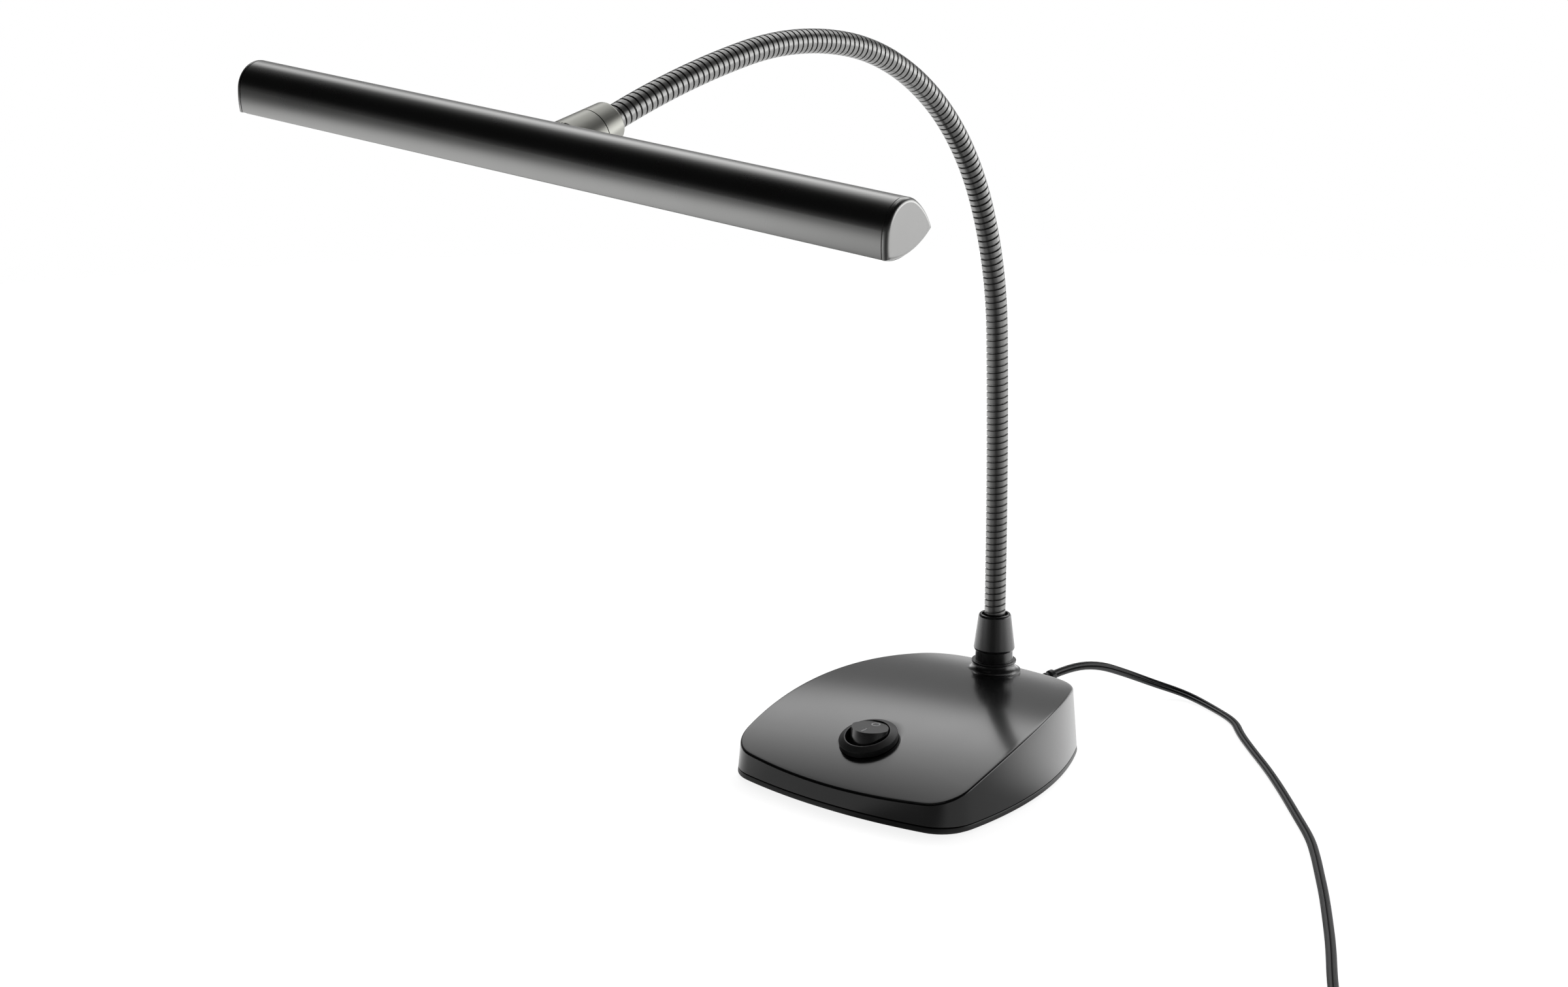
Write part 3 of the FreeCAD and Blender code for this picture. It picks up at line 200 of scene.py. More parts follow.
class LampColours(bpy.types.PropertyGroup):
    shell: colour("Moulded top of the base", "#161718")
    plate: colour("Plate under the base", "#151617")
    switch: colour("Bezel and rocker", "#303031")
    mark: colour("Printed marks on the rocker", "#f4f6f6")
    foot: colour("Moulded foot of the neck", "#3c3c3d")
    neck: colour("Wound strip of the gooseneck", "#959594")
    head: colour("Lacquered extrusion", "#a2a2a1")
    cap: colour("Lacquered end caps", "#a5a5a4")
    collar: colour("Anodised collar and cone", "#a6a6a0")
    lens: colour("Frosted diffuser", "#e9eae8")
    lead: colour("Sheath of the lead", "#3a3b3d")


class LampStudio(bpy.types.PropertyGroup):
    table: length("Radius of the round table", 1400.0)
    glow: level("Evenly lit share of the table's white", 0.86)
    gleam: level("What the open table adds to its level in the lamp's gloss", 0.85)
    # Painted shadow: the table glows dimmer next to the lamp in its gloss, standing in for the lamp's shadow
    # there.
    nearby: level("Level of the table next to the lamp in its gloss", 0.28)
    shade: level("Level of the table's dark side, towards the eye", 0.09)
    shade_turn: angle("Where the table's dark side points, from the X axis", 300)
    wall: level("Level of the low bright wall behind the lamp", 1.0)
    wall_turn: angle("Where the middle of the wall stands, from the X axis", 112)
    haze: level("Level of the soft light between the wall and the bank", 0.2)
    side: level("Level of the bright screen to the right of the lamp", 1.5)
    side_turn: angle("Where the screen stands, from the X axis", 50)
    bank: level("Level of the soft light bank over the wall", 1.65)
    bank_turn: angle("Where the bank hangs, from the X axis", 118)
    dim: level("Level of the dark side of the studio", 0.07)


GROUPS = {
    "lamp_base": LampBaseSizes, "lamp_switch": LampSwitchSizes, "lamp_foot": LampFootSizes,
    "lamp_neck": LampNeckSizes, "lamp_head": LampHeadSizes, "lamp_lead": LampLeadSizes,
    "lamp_colours": LampColours, "lamp_studio": LampStudio,
}

# Turn of each run of the neck after its stub, in degrees, from the base to the collar.
NECK_TURNS = (1.3, 1.7, 20.9, 29.4, 27.4, 19.6, 9.3)
# The neck's end at the collar and what the head is set by, in millimetres and degrees.
HEAD_REACH = 31.1
HEAD_RISE = 4.4
HEAD_TURN = -5.9
CONE_SLOPE = 0.105
# Section of the head: centre of its top's rounding, and where the rear arc starts and ends, from straight up.
SECTION_CENTRE = (0, 1.6, -1.1)
SECTION_LEAN = 28
SECTION_TIP = 61
# Route of the lead from the strain relief's tip to the coil, and from the coil to the plug.
LEAD_ROUTE = (
    (5.52, 82.6, 18.21), (7.9, 93.1, 19.6), (12.4, 106.8, 17.9), (17.0, 121.0, 11.6),
    (24.0, 132.5, 5.6), (37.0, 138.4, 1.9), (54.5, 131.4, 1.0), (69.4, 122.6, 1.0),
    (78.6, 110.6, 1.0), (92.5, 96.0, 1.0), (108.4, 80.0, 1.0), (124.6, 62.0, 1.0),
    (141.2, 42.6, 1.0), (154.6, 27.0, 1.0), (164.4, 12.6, 1.0), (173.4, -1.6, 1.0),
    (182.8, -16.4, 1.0), (193.4, -34.2, 1.0), (204.6, -53.4, 1.0), (217.6, -77.6, 1.1),
    (228.4, -95.6, 1.5), (234.4, -108.4, 2.0), (236.0, -119.5, 2.3),
)
TAIL_ROUTE = (
    (242.4, -135.9, 5.6), (248.1, -142.9, 4.6), (255.4, -149.8, 3.6), (265.3, -153.9, 3.4),
    (275.77, -152.44, 5.0), (281.55, -147.65, 5.0),
)
# Coil: two layers that wind inwards and back out, with their heights, and the rise where they pass the tie.
COIL_CENTRE = (263.0, -118.9)
COIL_TURNS = 11.11
COIL_STEPS = 16
COIL_START = 180
COIL_LOW = 1.87
COIL_HIGH = 5.53
COIL_STEP_UP = 0.4
COIL_GAP = 0.08
# The first share of a turn, on which the lead sinks, its slope by the turn, and the upper layer's step outwards.
COIL_ENTRY = 0.5
COIL_SLOPE = 0.4
COIL_SHIFT = 0.8
TIE_TURN = 205
TIE_RISE = 0.62
TIE_SPREAD = 40
# How far inside its control points the spline runs on the coil.
SPLINE_PULL = 0.985
RELIEF_EXIT = (1.0, 62.0, 15.6)
RELIEF_END = (5.5, 82.5, 18.2)
PLUG_HEADING = 39.65
# Corners of one rib of the relief, the plug's boot and its grip: offsets in radius and height, in millimetres.
RELIEF_RIB = ((-0.5, 0.0), (-0.5, 0.9), (0.0, 1.1), (0.0, 2.2))
BOOT_RIB = ((0.0, 0.0), (0.15, 1.9), (-0.35, 2.1), (-0.3, 2.7))
GRIP_RIB = ((0.0, 0.0), (-0.45, 0.25), (-0.45, 1.0), (0.0, 1.25))
# Lens in millimetres, place in metres and turn in degrees of the camera.
CAMERA_LENS, CAMERA_PLACE, CAMERA_TURN = 56.1975, (0.53947, -0.73777, 0.33932), (75.957, 0.0, 39.654)
# Corner of the table's dark wedge in the lamp's gloss, in metres.
SHADE_CORNER = (0.0, -0.02, 0.0)
# Where the studio's soft steps start and end: the cosine of the turn away from a light or from the table's dark
# side, the sine of the height over the horizon, or metres on the table.
WALL_TURN, WALL_TOP, WALL_LEFT_OVER = (0.03, 0.5), (0.0, 0.2), 0.1
HAZE_TURN = (0.75, 0.95)
SIDE_TURN, SIDE_TOP = (0.75, 0.95), (0.22, 0.45)
BANK_TURN, BANK_FOOT, BANK_TOP, BANK_LEFT_OVER = (0.58, 0.90), (0.45, 0.60), (0.60, 0.85), 0.28
SHADE_TURN, OPEN_TURN, BEHIND_TURN = (0.99, 0.88), (0.88, 0.5), (0.3, -0.4)
OPEN_REACH, FAR_REACH, FAR_LEFT_OVER = (0.35, 0.65), (1.0, 1.35), 0.3


# ---------------------------------------------------------------- node and material helpers
def node(tree, kind, values=None, links=None, **settings):
    """Adds a node with its settings, its plain input values and its links."""
    made = tree.nodes.new(kind)
    for name, value in settings.items():
        setattr(made, name, value)
    for name, value in (values or {}).items():
        made.inputs[name].default_value = value
    for name, source in (links or {}).items():
        tree.links.new(source, made.inputs[name])
    return made


def material(name, values):
    """Material with a Principled shader; returns it with its tree, its shader and Object coordinates."""
    made = bpy.data.materials.get(name) or bpy.data.materials.new(name)
    made.use_nodes = True
    tree = made.node_tree
    tree.nodes.clear()
    shader = node(tree, "ShaderNodeBsdfPrincipled", values)
    node(tree, "ShaderNodeOutputMaterial", links={"Surface": shader.outputs["BSDF"]})
    return made, tree, shader, node(tree, "ShaderNodeTexCoord").outputs["Object"]


def rgba(values, gain=1.0):
    """Colour with its alpha, as a socket takes it, never over white."""
    return (*(min(1.0, value * gain) for value in values), 1.0)


def grain(tree, place, size, detail, stretch=(1, 1, 1)):
    """Noise whose features are about size metres across; returns its value."""
    mapped = node(tree, "ShaderNodeMapping", {"Scale": stretch}, {"Vector": place})
    noise = node(tree, "ShaderNodeTexNoise", {"Scale": 1.0 / size, "Detail": detail, "Roughness": 0.55},
                 {"Vector": mapped.outputs["Vector"]})
    return noise.outputs["Fac"]


def fade(tree, value, start, end, low=0.0, high=1.0, kind="SMOOTHSTEP"):
    """Goes from low to high, softly or evenly, while a value goes from start to end."""
    ends = {"From Min": start, "From Max": end, "To Min": low, "To Max": high}
    return node(tree, "ShaderNodeMapRange", ends, {"Value": value}, interpolation_type=kind).outputs["Result"]


def joined(tree, operation, *values):
    """Joins values one after another by a math operation."""
    result = values[0]
    for value in values[1:]:
        step = node(tree, "ShaderNodeMath", operation=operation)
        for socket, source in zip(step.inputs, (result, value)):
            if isinstance(source, float):
                socket.default_value = source
            else:
                tree.links.new(source, socket)
        result = step.outputs[0]
    return result


def towards(tree, heading, turn):
    """1 where a level heading points along a turn from the X axis, and -1 where it points away."""
    flat = node(tree, "ShaderNodeVectorMath", {1: (1, 1, 0)}, {0: heading}, operation="MULTIPLY")
    unit = node(tree, "ShaderNodeVectorMath", links={0: flat.outputs["Vector"]}, operation="NORMALIZE")
    aligned = node(tree, "ShaderNodeVectorMath", {1: (math.cos(turn), math.sin(turn), 0)},
                   {0: unit.outputs["Vector"]}, operation="DOT_PRODUCT")
    return aligned.outputs["Value"]


def finished(name, values, tone, shades, roughness, clouds, skin, height, strength=0.5):
    """Material whose tone and gloss vary with clouds, under the relief of its skin, each a (size, detail)."""
    made, tree, shader, place = material(name, values)
    cloud = grain(tree, place, *clouds)
    colours = {6: rgba(tone, shades[0]), 7: rgba(tone, shades[1])}
    tint = node(tree, "ShaderNodeMix", colours, {0: cloud}, data_type="RGBA").outputs[2]
    tree.links.new(tint, shader.inputs["Base Color"])
    if roughness:
        tree.links.new(fade(tree, cloud, 0.3, 0.7, *roughness, "LINEAR"), shader.inputs["Roughness"])
    relief = node(tree, "ShaderNodeBump", {"Strength": strength, "Distance": height},
                  {"Height": grain(tree, place, *skin)})
    tree.links.new(relief.outputs["Normal"], shader.inputs["Normal"])
    return made


def satin_abs(name, tone, roughness, texture, height, level=0.8, coat=0.0):
    """Injection-moulded ABS: an even black skin, with the mould's fine texture and slow swirls in its gloss."""
    values = {"IOR": 1.55, "Specular IOR Level": level, "Coat Weight": coat, "Coat Roughness": roughness * 0.6}
    return finished(name, values, tone, (0.95, 1.05), (roughness - 0.01, roughness + 0.01), (18 * MM, 3.0),
                    (texture, 2.0), height)


def black_metal(name, tone, roughness, size, height, stretch=(1, 1, 1)):
    """Metal under a thin black coating: dark but mirror-like, with the sheen of its drawn or blasted skin."""
    return finished(name, {"Metallic": 1.0}, tone, (0.97, 1.03), (roughness - 0.015, roughness + 0.015),
                    (25 * MM, 2.0), (size, 3.0, stretch), height, 0.3)


def soft_pvc(name, tone, roughness):
    """Extruded PVC: a slightly waxy skin with faint lengthwise drawing and handling marks."""
    return finished(name, {"IOR": 1.53}, tone, (0.8, 1.25), (roughness - 0.05, roughness + 0.07), (9 * MM, 4.0),
                    (0.5 * MM, 2.0), 0.02 * MM)


def plain_metal(name, code, roughness, size=0.4 * MM):
    """Bare or plated metal with turning and handling marks."""
    return finished(name, {"Metallic": 1.0}, linear(code), (0.85, 1.0), (roughness - 0.05, roughness + 0.08),
                    (size, 3.0), (size, 3.0), 0.02 * MM, 0.3)


def plain_mould(name, tone, roughness, size=0.6 * MM, height=0.015 * MM):
    """Small moulded, printed or potted part with a fine even texture."""
    return finished(name, {"IOR": 1.5}, tone, (0.85, 1.1), (roughness - 0.04, roughness + 0.06), (size, 2.0),
                    (size, 2.0), height, 0.4)


# ---------------------------------------------------------------- mesh helpers
def piece(name, mesh_code, body, finish, replaces=(), sharp=32.0):
    """Turns a bmesh into a shown piece of the lamp that rides on its body."""
    mesh = bpy.data.meshes.new(name)
    mesh_code.to_mesh(mesh)
    mesh_code.free()
    mesh.materials.append(finish)
    return shown(name, mesh, body, replaces, sharp)


def shown(name, mesh, body, replaces=(), sharp=32.0):
    """Shows a finished mesh, smooth but for its sharp edges."""
    mesh.shade_smooth()
    mesh.set_sharp_from_angle(angle=math.radians(sharp))
    made = bpy.data.objects.new(name, mesh)
    bpy.context.scene.collection.objects.link(made)
    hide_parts(*replaces)
    if body:
        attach(made, body)
    return made


def even_shading(made):
    """Keeps flat faces flat next to their rounded edges."""
    weights = made.modifiers.new("even shading", "WEIGHTED_NORMAL")
    weights.keep_sharp = True
    return made


def thickened(made, thickness):
    """Gives an open skin its wall, inwards."""
    wall = made.modifiers.new("wall", "SOLIDIFY")
    wall.thickness = thickness
    wall.offset = -1.0
    wall.use_even_offset = True
    return made


def rounded(made, width, over=35.0, segments=3):
    """Rounds a piece's edges that are sharper than an angle."""
    edges = made.modifiers.new("rounded edges", "BEVEL")
    edges.width = width
    edges.segments = segments
    edges.limit_method = "ANGLE"
    edges.angle_limit = math.radians(over)
    edges.use_clamp_overlap = True
    return made


def moved(made, place):
    """Carries a whole bmesh by a matrix."""
    bmesh.ops.transform(made, matrix=place, verts=made.verts)
    return made


def merged(made, near=0.002 * MM):
    """Makes one point of those that lie next to each other."""
    bmesh.ops.remove_doubles(made, verts=made.verts, dist=near)
    return made


def faced_out(made):
    """Turns every face of a bmesh outwards."""
    bmesh.ops.recalc_face_normals(made, faces=made.faces)
    return made


def only(kind, geometry):
    """The points or the edges of what a bmesh operator returned."""
    return [item for item in geometry if isinstance(item, kind)]


def in_mm(group):
    """The lengths of a group, in millimetres."""
    return SimpleNamespace(**{name: getattr(group, name) / MM for name in group.__annotations__})


def copied(name):
    """Bmesh of a CAD node's mesh, with its loose triangles merged."""
    made = bmesh.new()
    made.from_mesh(frame["nodes"][name].data)
    return merged(made, 0.004 * MM)


def sharp_edges(mesh_code, degrees=25.0):
    """Edges whose faces meet at more than an angle."""
    return [edge for edge in mesh_code.edges
            if len(edge.link_faces) == 2 and edge.calc_face_angle(0.0) > math.radians(degrees)]


def bevelled(mesh_code, edges, width, segments=3):
    """Rounds edges of a bmesh."""
    bmesh.ops.bevel(mesh_code, geom=edges, offset=width, offset_type="OFFSET", segments=segments, profile=0.5,
                    affect="EDGES", material=-1, clamp_overlap=True)


def turned(profile, steps=64, edge=0.0, segments=3, sharp=25.0):
    """Closed profile of (radius, height) corners in millimetres, spun about Z, with rounded corners."""
    made = bmesh.new()
    corners = [made.verts.new((radius * MM, 0, height * MM)) for radius, height in profile]
    sides = [made.edges.new(pair) for pair in zip(corners, corners[1:] + corners[:1])]
    bmesh.ops.spin(made, geom=corners + sides, cent=(0, 0, 0), axis=AXIS_Z, angle=math.tau, steps=steps,
                   use_merge=True)
    faced_out(merged(made))
    if edge:
        bevelled(made, sharp_edges(made, sharp), edge * MM, segments)
    return made


def spun_wire(made, start, axis, sweeps):
    """Wire of tangent arcs: one point is spun about each (centre, degrees, steps) in turn."""
    first = tip = made.verts.new(start)
    for centre, degrees, steps in sweeps:
        turn = math.radians(degrees)
        spun = bmesh.ops.spin(made, geom=[tip], cent=centre, axis=axis, angle=turn, steps=steps)
        tip = only(bmesh.types.BMVert, spun["geom_last"])[0]
    return first, tip


def ribs(count, place, step, radius, growth, corners):
    """Corners of a rib, as (radius, height) offsets, repeated along a profile."""
    return [(radius + growth * rib + out, place + step * rib + up)
            for rib in range(count) for out, up in corners]


def set_along(start, direction):
    """Matrix that carries local Z from the origin to a direction at start."""
    turn = Vector(direction).to_track_quat("Z", "Y").to_matrix().to_4x4()
    return Matrix.Translation(start) @ turn


# ---------------------------------------------------------------- shared shapes of the base
def inner_corner(centre_a, radius_a, centre_b, radius_b, corner):
    """Centre of the rounding that touches two arcs from inside, on the right."""
    reach_a = radius_a - corner
    reach_b = radius_b - corner
    gap = centre_b - centre_a
    along = (reach_a ** 2 - reach_b ** 2 + gap.length ** 2) / (2 * gap.length)
    aside = math.sqrt(reach_a ** 2 - along ** 2)
    unit = gap.normalized()
    foot = centre_a + unit * along
    across = Vector((-unit.y, unit.x, 0)) * aside
    return max((foot + across, foot - across), key=lambda spot: spot.x)


def heading(origin, spot):
    return math.degrees(math.atan2(spot.y - origin.y, spot.x - origin.x))


def footprint(made, base, inset, height):
    """The base's outline at a height, drawn in by its draft and by inset, as a closed ring of tangent arcs."""
    front = Vector((0, base.front_radius - base.half_depth, height))
    rear = Vector((0, base.half_depth - base.rear_radius, height))
    side = Vector((base.half_width - base.side_radius, base.widest, height))
    near = inner_corner(front, base.front_radius, side, base.side_radius, base.front_corner)
    far = inner_corner(rear, base.rear_radius, side, base.side_radius, base.rear_corner)
    near.z = far.z = height
    turns = [heading(front, near), heading(side, near), heading(side, far), heading(rear, far)]
    half = [(front, turns[0] + 90, 14), (near, turns[1] - turns[0], 10), (side, turns[2] - turns[1], 26),
            (far, turns[3] - turns[2], 10), (rear, 90 - turns[3], 12)]
    mirrored = [(Vector((-centre.x, centre.y, centre.z)), sweep, steps)
                for centre, sweep, steps in reversed(half)]
    start = Vector((0, -base.half_depth + inset + base.draft * height, height))
    before = set(made.edges)
    spun_wire(made, start, AXIS_Z, half + mirrored)
    merged(made)
    return [edge for edge in made.edges if edge not in before]


def top_height(base, x, y):
    """Height of the crowned top over a place."""
    sag = base.top_radius - math.sqrt(base.top_radius ** 2 - (y - base.top_place) ** 2)
    return base.top_height - base.crown_radius + math.sqrt((base.crown_radius - sag) ** 2 - x ** 2)


def switch_frame(scene):
    """Matrix of the switch: local Z is the top's outward normal there."""
    base, switch = scene.lamp_base, scene.lamp_switch
    slope = math.asin((switch.place - base.top_place) / base.top_radius)
    spot = Vector((0, switch.place, top_height(base, 0, switch.place)))
    return Matrix.Translation(spot) @ Matrix.Rotation(-slope, 4, "X")


# ---------------------------------------------------------------- shared shapes of the neck and the head
def neck_runs(neck):
    """Start, lean, length and turn of each run of the neck, from the foot."""
    runs = []
    spot = Vector((0, neck.place, neck.foot))
    lean = 0.0
    lengths = [neck.stub] + [neck.run] * (len(NECK_TURNS) - 1) + [neck.last_run]
    for long, degrees in zip(lengths, (0.0,) + NECK_TURNS):
        run = (spot, lean, long, math.radians(degrees))
        runs.append(run)
        spot, lean = neck_point(run, long)
    runs.append((spot, lean, 1.0, 0.0))
    return runs


def neck_point(run, distance):
    """Point and lean at a distance along one run of the neck."""
    start, lean, long, turn = run
    if abs(turn) < 1e-6:
        return start + Vector((0, -math.sin(lean), math.cos(lean))) * distance, lean
    here = lean + turn * distance / long
    radius = long / turn
    shift = Vector((0, math.cos(here) - math.cos(lean), math.sin(here) - math.sin(lean)))
    return start + shift * radius, here


def swivel_matrices(scene):
    """Matrices of the swivel, with local Z along the neck's end, and of the head."""
    spot, lean = neck_runs(scene.lamp_neck)[-1][:2]
    out = Vector((0, -math.sin(lean), math.cos(lean)))
    turn = Matrix.Rotation(math.radians(HEAD_TURN), 4, out)
    centre = spot + out * HEAD_REACH * MM + Vector((0, 0, HEAD_RISE * MM))
    return set_along(spot, out), Matrix.Translation(spot) @ turn @ Matrix.Translation(centre - spot)


def head_section(made, head, inset=0.0, outer=True, under=True):
    """The head's section in its own frame, spun from its rear tip over the top and back under it."""
    def arm(degrees):
        return Vector((0, math.sin(math.radians(degrees)), math.cos(math.radians(degrees))))

    centre = Vector(SECTION_CENTRE) * MM
    rear = centre - arm(SECTION_LEAN) * (head.rear_radius - head.top_radius)
    front = centre + Vector((0, head.front_radius - head.top_radius, 0))
    dip = math.degrees(math.asin(head.front_drop / head.front_radius))
    tip = rear + arm(SECTION_TIP) * (head.rear_radius - inset)
    foot = front + arm(-90 - dip) * (head.front_radius - inset)
    chord = tip - foot
    under_radius = (chord.length ** 2 / 4 + head.bow ** 2) / (2 * head.bow)
    upward = Vector((0, -chord.z, chord.y)).normalized()
    middle = (tip + foot) / 2 + upward * (under_radius - head.bow)
    half_sweep = math.degrees(math.asin(chord.length / 2 / under_radius))
    sweeps = []
    if outer:
        sweeps += [(rear, SECTION_TIP - SECTION_LEAN, 10), (centre, 90 + SECTION_LEAN, 30), (front, dip, 6)]
    if under:
        sweeps += [(middle, 2 * half_sweep, 16)]
    spun_wire(made, tip if outer else foot, AXIS_X, sweeps)
    merged(made)
    return list(made.edges)


def drawn_out(made, edges, low, high):
    """Extrudes a section's wire along X from low to high."""
    bmesh.ops.translate(made, verts=made.verts, vec=(low, 0, 0))
    drawn = bmesh.ops.extrude_edge_only(made, edges=edges)["geom"]
    bmesh.ops.translate(made, verts=only(bmesh.types.BMVert, drawn), vec=(high - low, 0, 0))
    faced_out(made)


# ---------------------------------------------------------------- operators: the lamp's pieces
class LAMP_OT_base(bpy.types.Operator):
    """Builds the moulded top, the plate under it and the rubber pad"""

    bl_idname = "lamp.base"
    bl_label = "Base"

    def execute(self, context):
        scene = context.scene
        base, tones = scene.lamp_base, scene.lamp_colours
        # Polished mould: soft clear reflections of the studio on an even black.
        satin = satin_abs("ABS satin black", tones.shell, 0.22, 0.35 * MM, 0.002 * MM, 0.9, 0.5)
        self.shell(scene, base, satin)
        # Spark-eroded mould: a fine matt texture, duller than the top.
        textured = satin_abs("ABS fine texture", tones.plate, 0.4, 0.25 * MM, 0.012 * MM)
        plate = ("bottom_plate_moulding", "plate_black", "bottom_plate", textured)
        self.slab(base, 0.0, base.pad, base.seam, 0.8 * MM, plate)
        # Foamed rubber: dull, with the open cells of its cut face.
        rubber = plain_mould("Rubber cellular pad", linear("#131313"), 0.75, 0.5 * MM, 0.05 * MM)
        sheet = ("base_pad_sheet", "pad_rubber", "base_pad", rubber)
        self.slab(base, base.pad_inset, 0.0, base.pad, 0.25 * MM, sheet)
        return {"FINISHED"}

    def shell(self, scene, base, finish):
        """Walls from the seam up to the crowned top, and the top in rings that close in on the switch's hole."""
        made = bmesh.new()
        lift = base.seam + base.seam_chamfer
        footprint(made, base, base.seam_chamfer, base.seam)
        low = footprint(made, base, 0.0, lift)
        high = footprint(made, base, 0.0, base.top_height + 6 * MM)
        bmesh.ops.bridge_loops(made, edges=[edge for edge in made.edges if edge not in high])
        bmesh.ops.bridge_loops(made, edges=low + high)
        for edge in [edge for edge in made.edges if edge not in high]:
            ends = sorted(edge.verts, key=lambda vert: vert.co.z)
            if ends[1].co.z > base.top_height:
                foot, head = ends[0].co.copy(), ends[1].co.copy()
                share = 0.5
                for _ in range(6):
                    spot = foot.lerp(head, share)
                    share += (top_height(base, spot.x, spot.y) - spot.z) / (head.z - foot.z)
                ends[1].co = foot.lerp(head, share)
        crease = list(high)
        hole = Vector((0, scene.lamp_switch.place))
        rings, border = 16, 2.2 * MM
        edges = high
        for count in range(rings):
            ring = bmesh.ops.extrude_edge_only(made, edges=edges)["geom"]
            edges = only(bmesh.types.BMEdge, ring)
            for vert in only(bmesh.types.BMVert, ring):
                arm = vert.co.xy - hole
                rim = hole + arm.normalized() * scene.lamp_switch.hole
                step = border if count == 0 else (vert.co.xy - rim).length / (rings - count)
                vert.co.xy = vert.co.xy + (rim - vert.co.xy).normalized() * step
                vert.co.z = top_height(base, vert.co.x, vert.co.y)
        faced_out(made)
        bevelled(made, crease, base.crease, 5)
        shell = piece("base_shell_moulding", made, "base", finish, ["base_shell"])
        even_shading(thickened(shell, base.wall))

    def slab(self, base, inset, low, high, edge, shown_as):
        """Flat piece with the base's outline, from low to high, with its lower edge rounded."""
        name, slot, replaced, finish = shown_as
        made = bmesh.new()
        bottom = footprint(made, base, inset, low)
        top = footprint(made, base, inset, high)
        bmesh.ops.bridge_loops(made, edges=bottom + top)
        bmesh.ops.edgeloop_fill(made, edges=bottom)
        bmesh.ops.edgeloop_fill(made, edges=top)
        faced_out(made)
        bevelled(made, bottom, edge, 4)
        top = [e for e in made.edges if min(vert.co.z for vert in e.verts) > high - 0.001 * MM]
        bevelled(made, top, base.seam_chamfer, 2)
        even_shading(piece(name, made, "base", finish, [replaced]))


class LAMP_OT_neck_foot(bpy.types.Operator):
    """Builds the flared foot and the tapered sleeve that hold the gooseneck"""

    bl_idname = "lamp.neck_foot"
    bl_label = "Neck foot"

    def execute(self, context):
        scene = context.scene
        foot = in_mm(scene.lamp_foot)
        ground = top_height(scene.lamp_base, 0, scene.lamp_neck.place) / MM
        ledge = ground + foot.rim + foot.dish
        low = ground + foot.height
        high = low + foot.sleeve_height
        # Polished mould: a deeper gloss than the base's, which streaks along the round sleeve.
        finish = satin_abs("ABS gloss black", scene.lamp_colours.foot, 0.26, 0.5 * MM, 0.001 * MM, 0.9, 0.6)
        turns = [math.radians(90 * step / 8) for step in range(9)]
        dish = [(foot.flange - (foot.flange - foot.waist) * math.sin(turn), ledge - foot.dish * math.cos(turn))
                for turn in turns]
        flare = turned([(foot.bore, ground - foot.sink), (foot.flange, ground - foot.sink)] + dish + [
            (foot.ledge, ledge), (foot.ledge, ledge + foot.ledge_height),
            (foot.spigot, ledge + foot.ledge_height), (foot.spigot, low), (foot.bore, low),
        ], 96, 0.18, 3, 30)
        sleeve = turned([
            (foot.sleeve_bore, low), (foot.sleeve - 0.5, low), (foot.sleeve, low + foot.sleeve_chamfer),
            (foot.sleeve_top, high - 0.7), (foot.sleeve_top - 0.5, high), (foot.mouth, high),
            (foot.mouth, high - foot.mouth_depth), (foot.mouth - 0.75, high - foot.mouth_depth - 0.5),
            (foot.sleeve_bore, low + 10.0),
        ], 96, 0.3, 3, 18)
        for name, made, replaced in (("neck_foot_flare", flare, "neck_flange"),
                                     ("neck_sleeve_cone", sleeve, "neck_sleeve")):
            moved(made, Matrix.Translation((0, scene.lamp_neck.place, 0)))
            even_shading(piece(name, made, "base", finish, [replaced]))
        return {"FINISHED"}


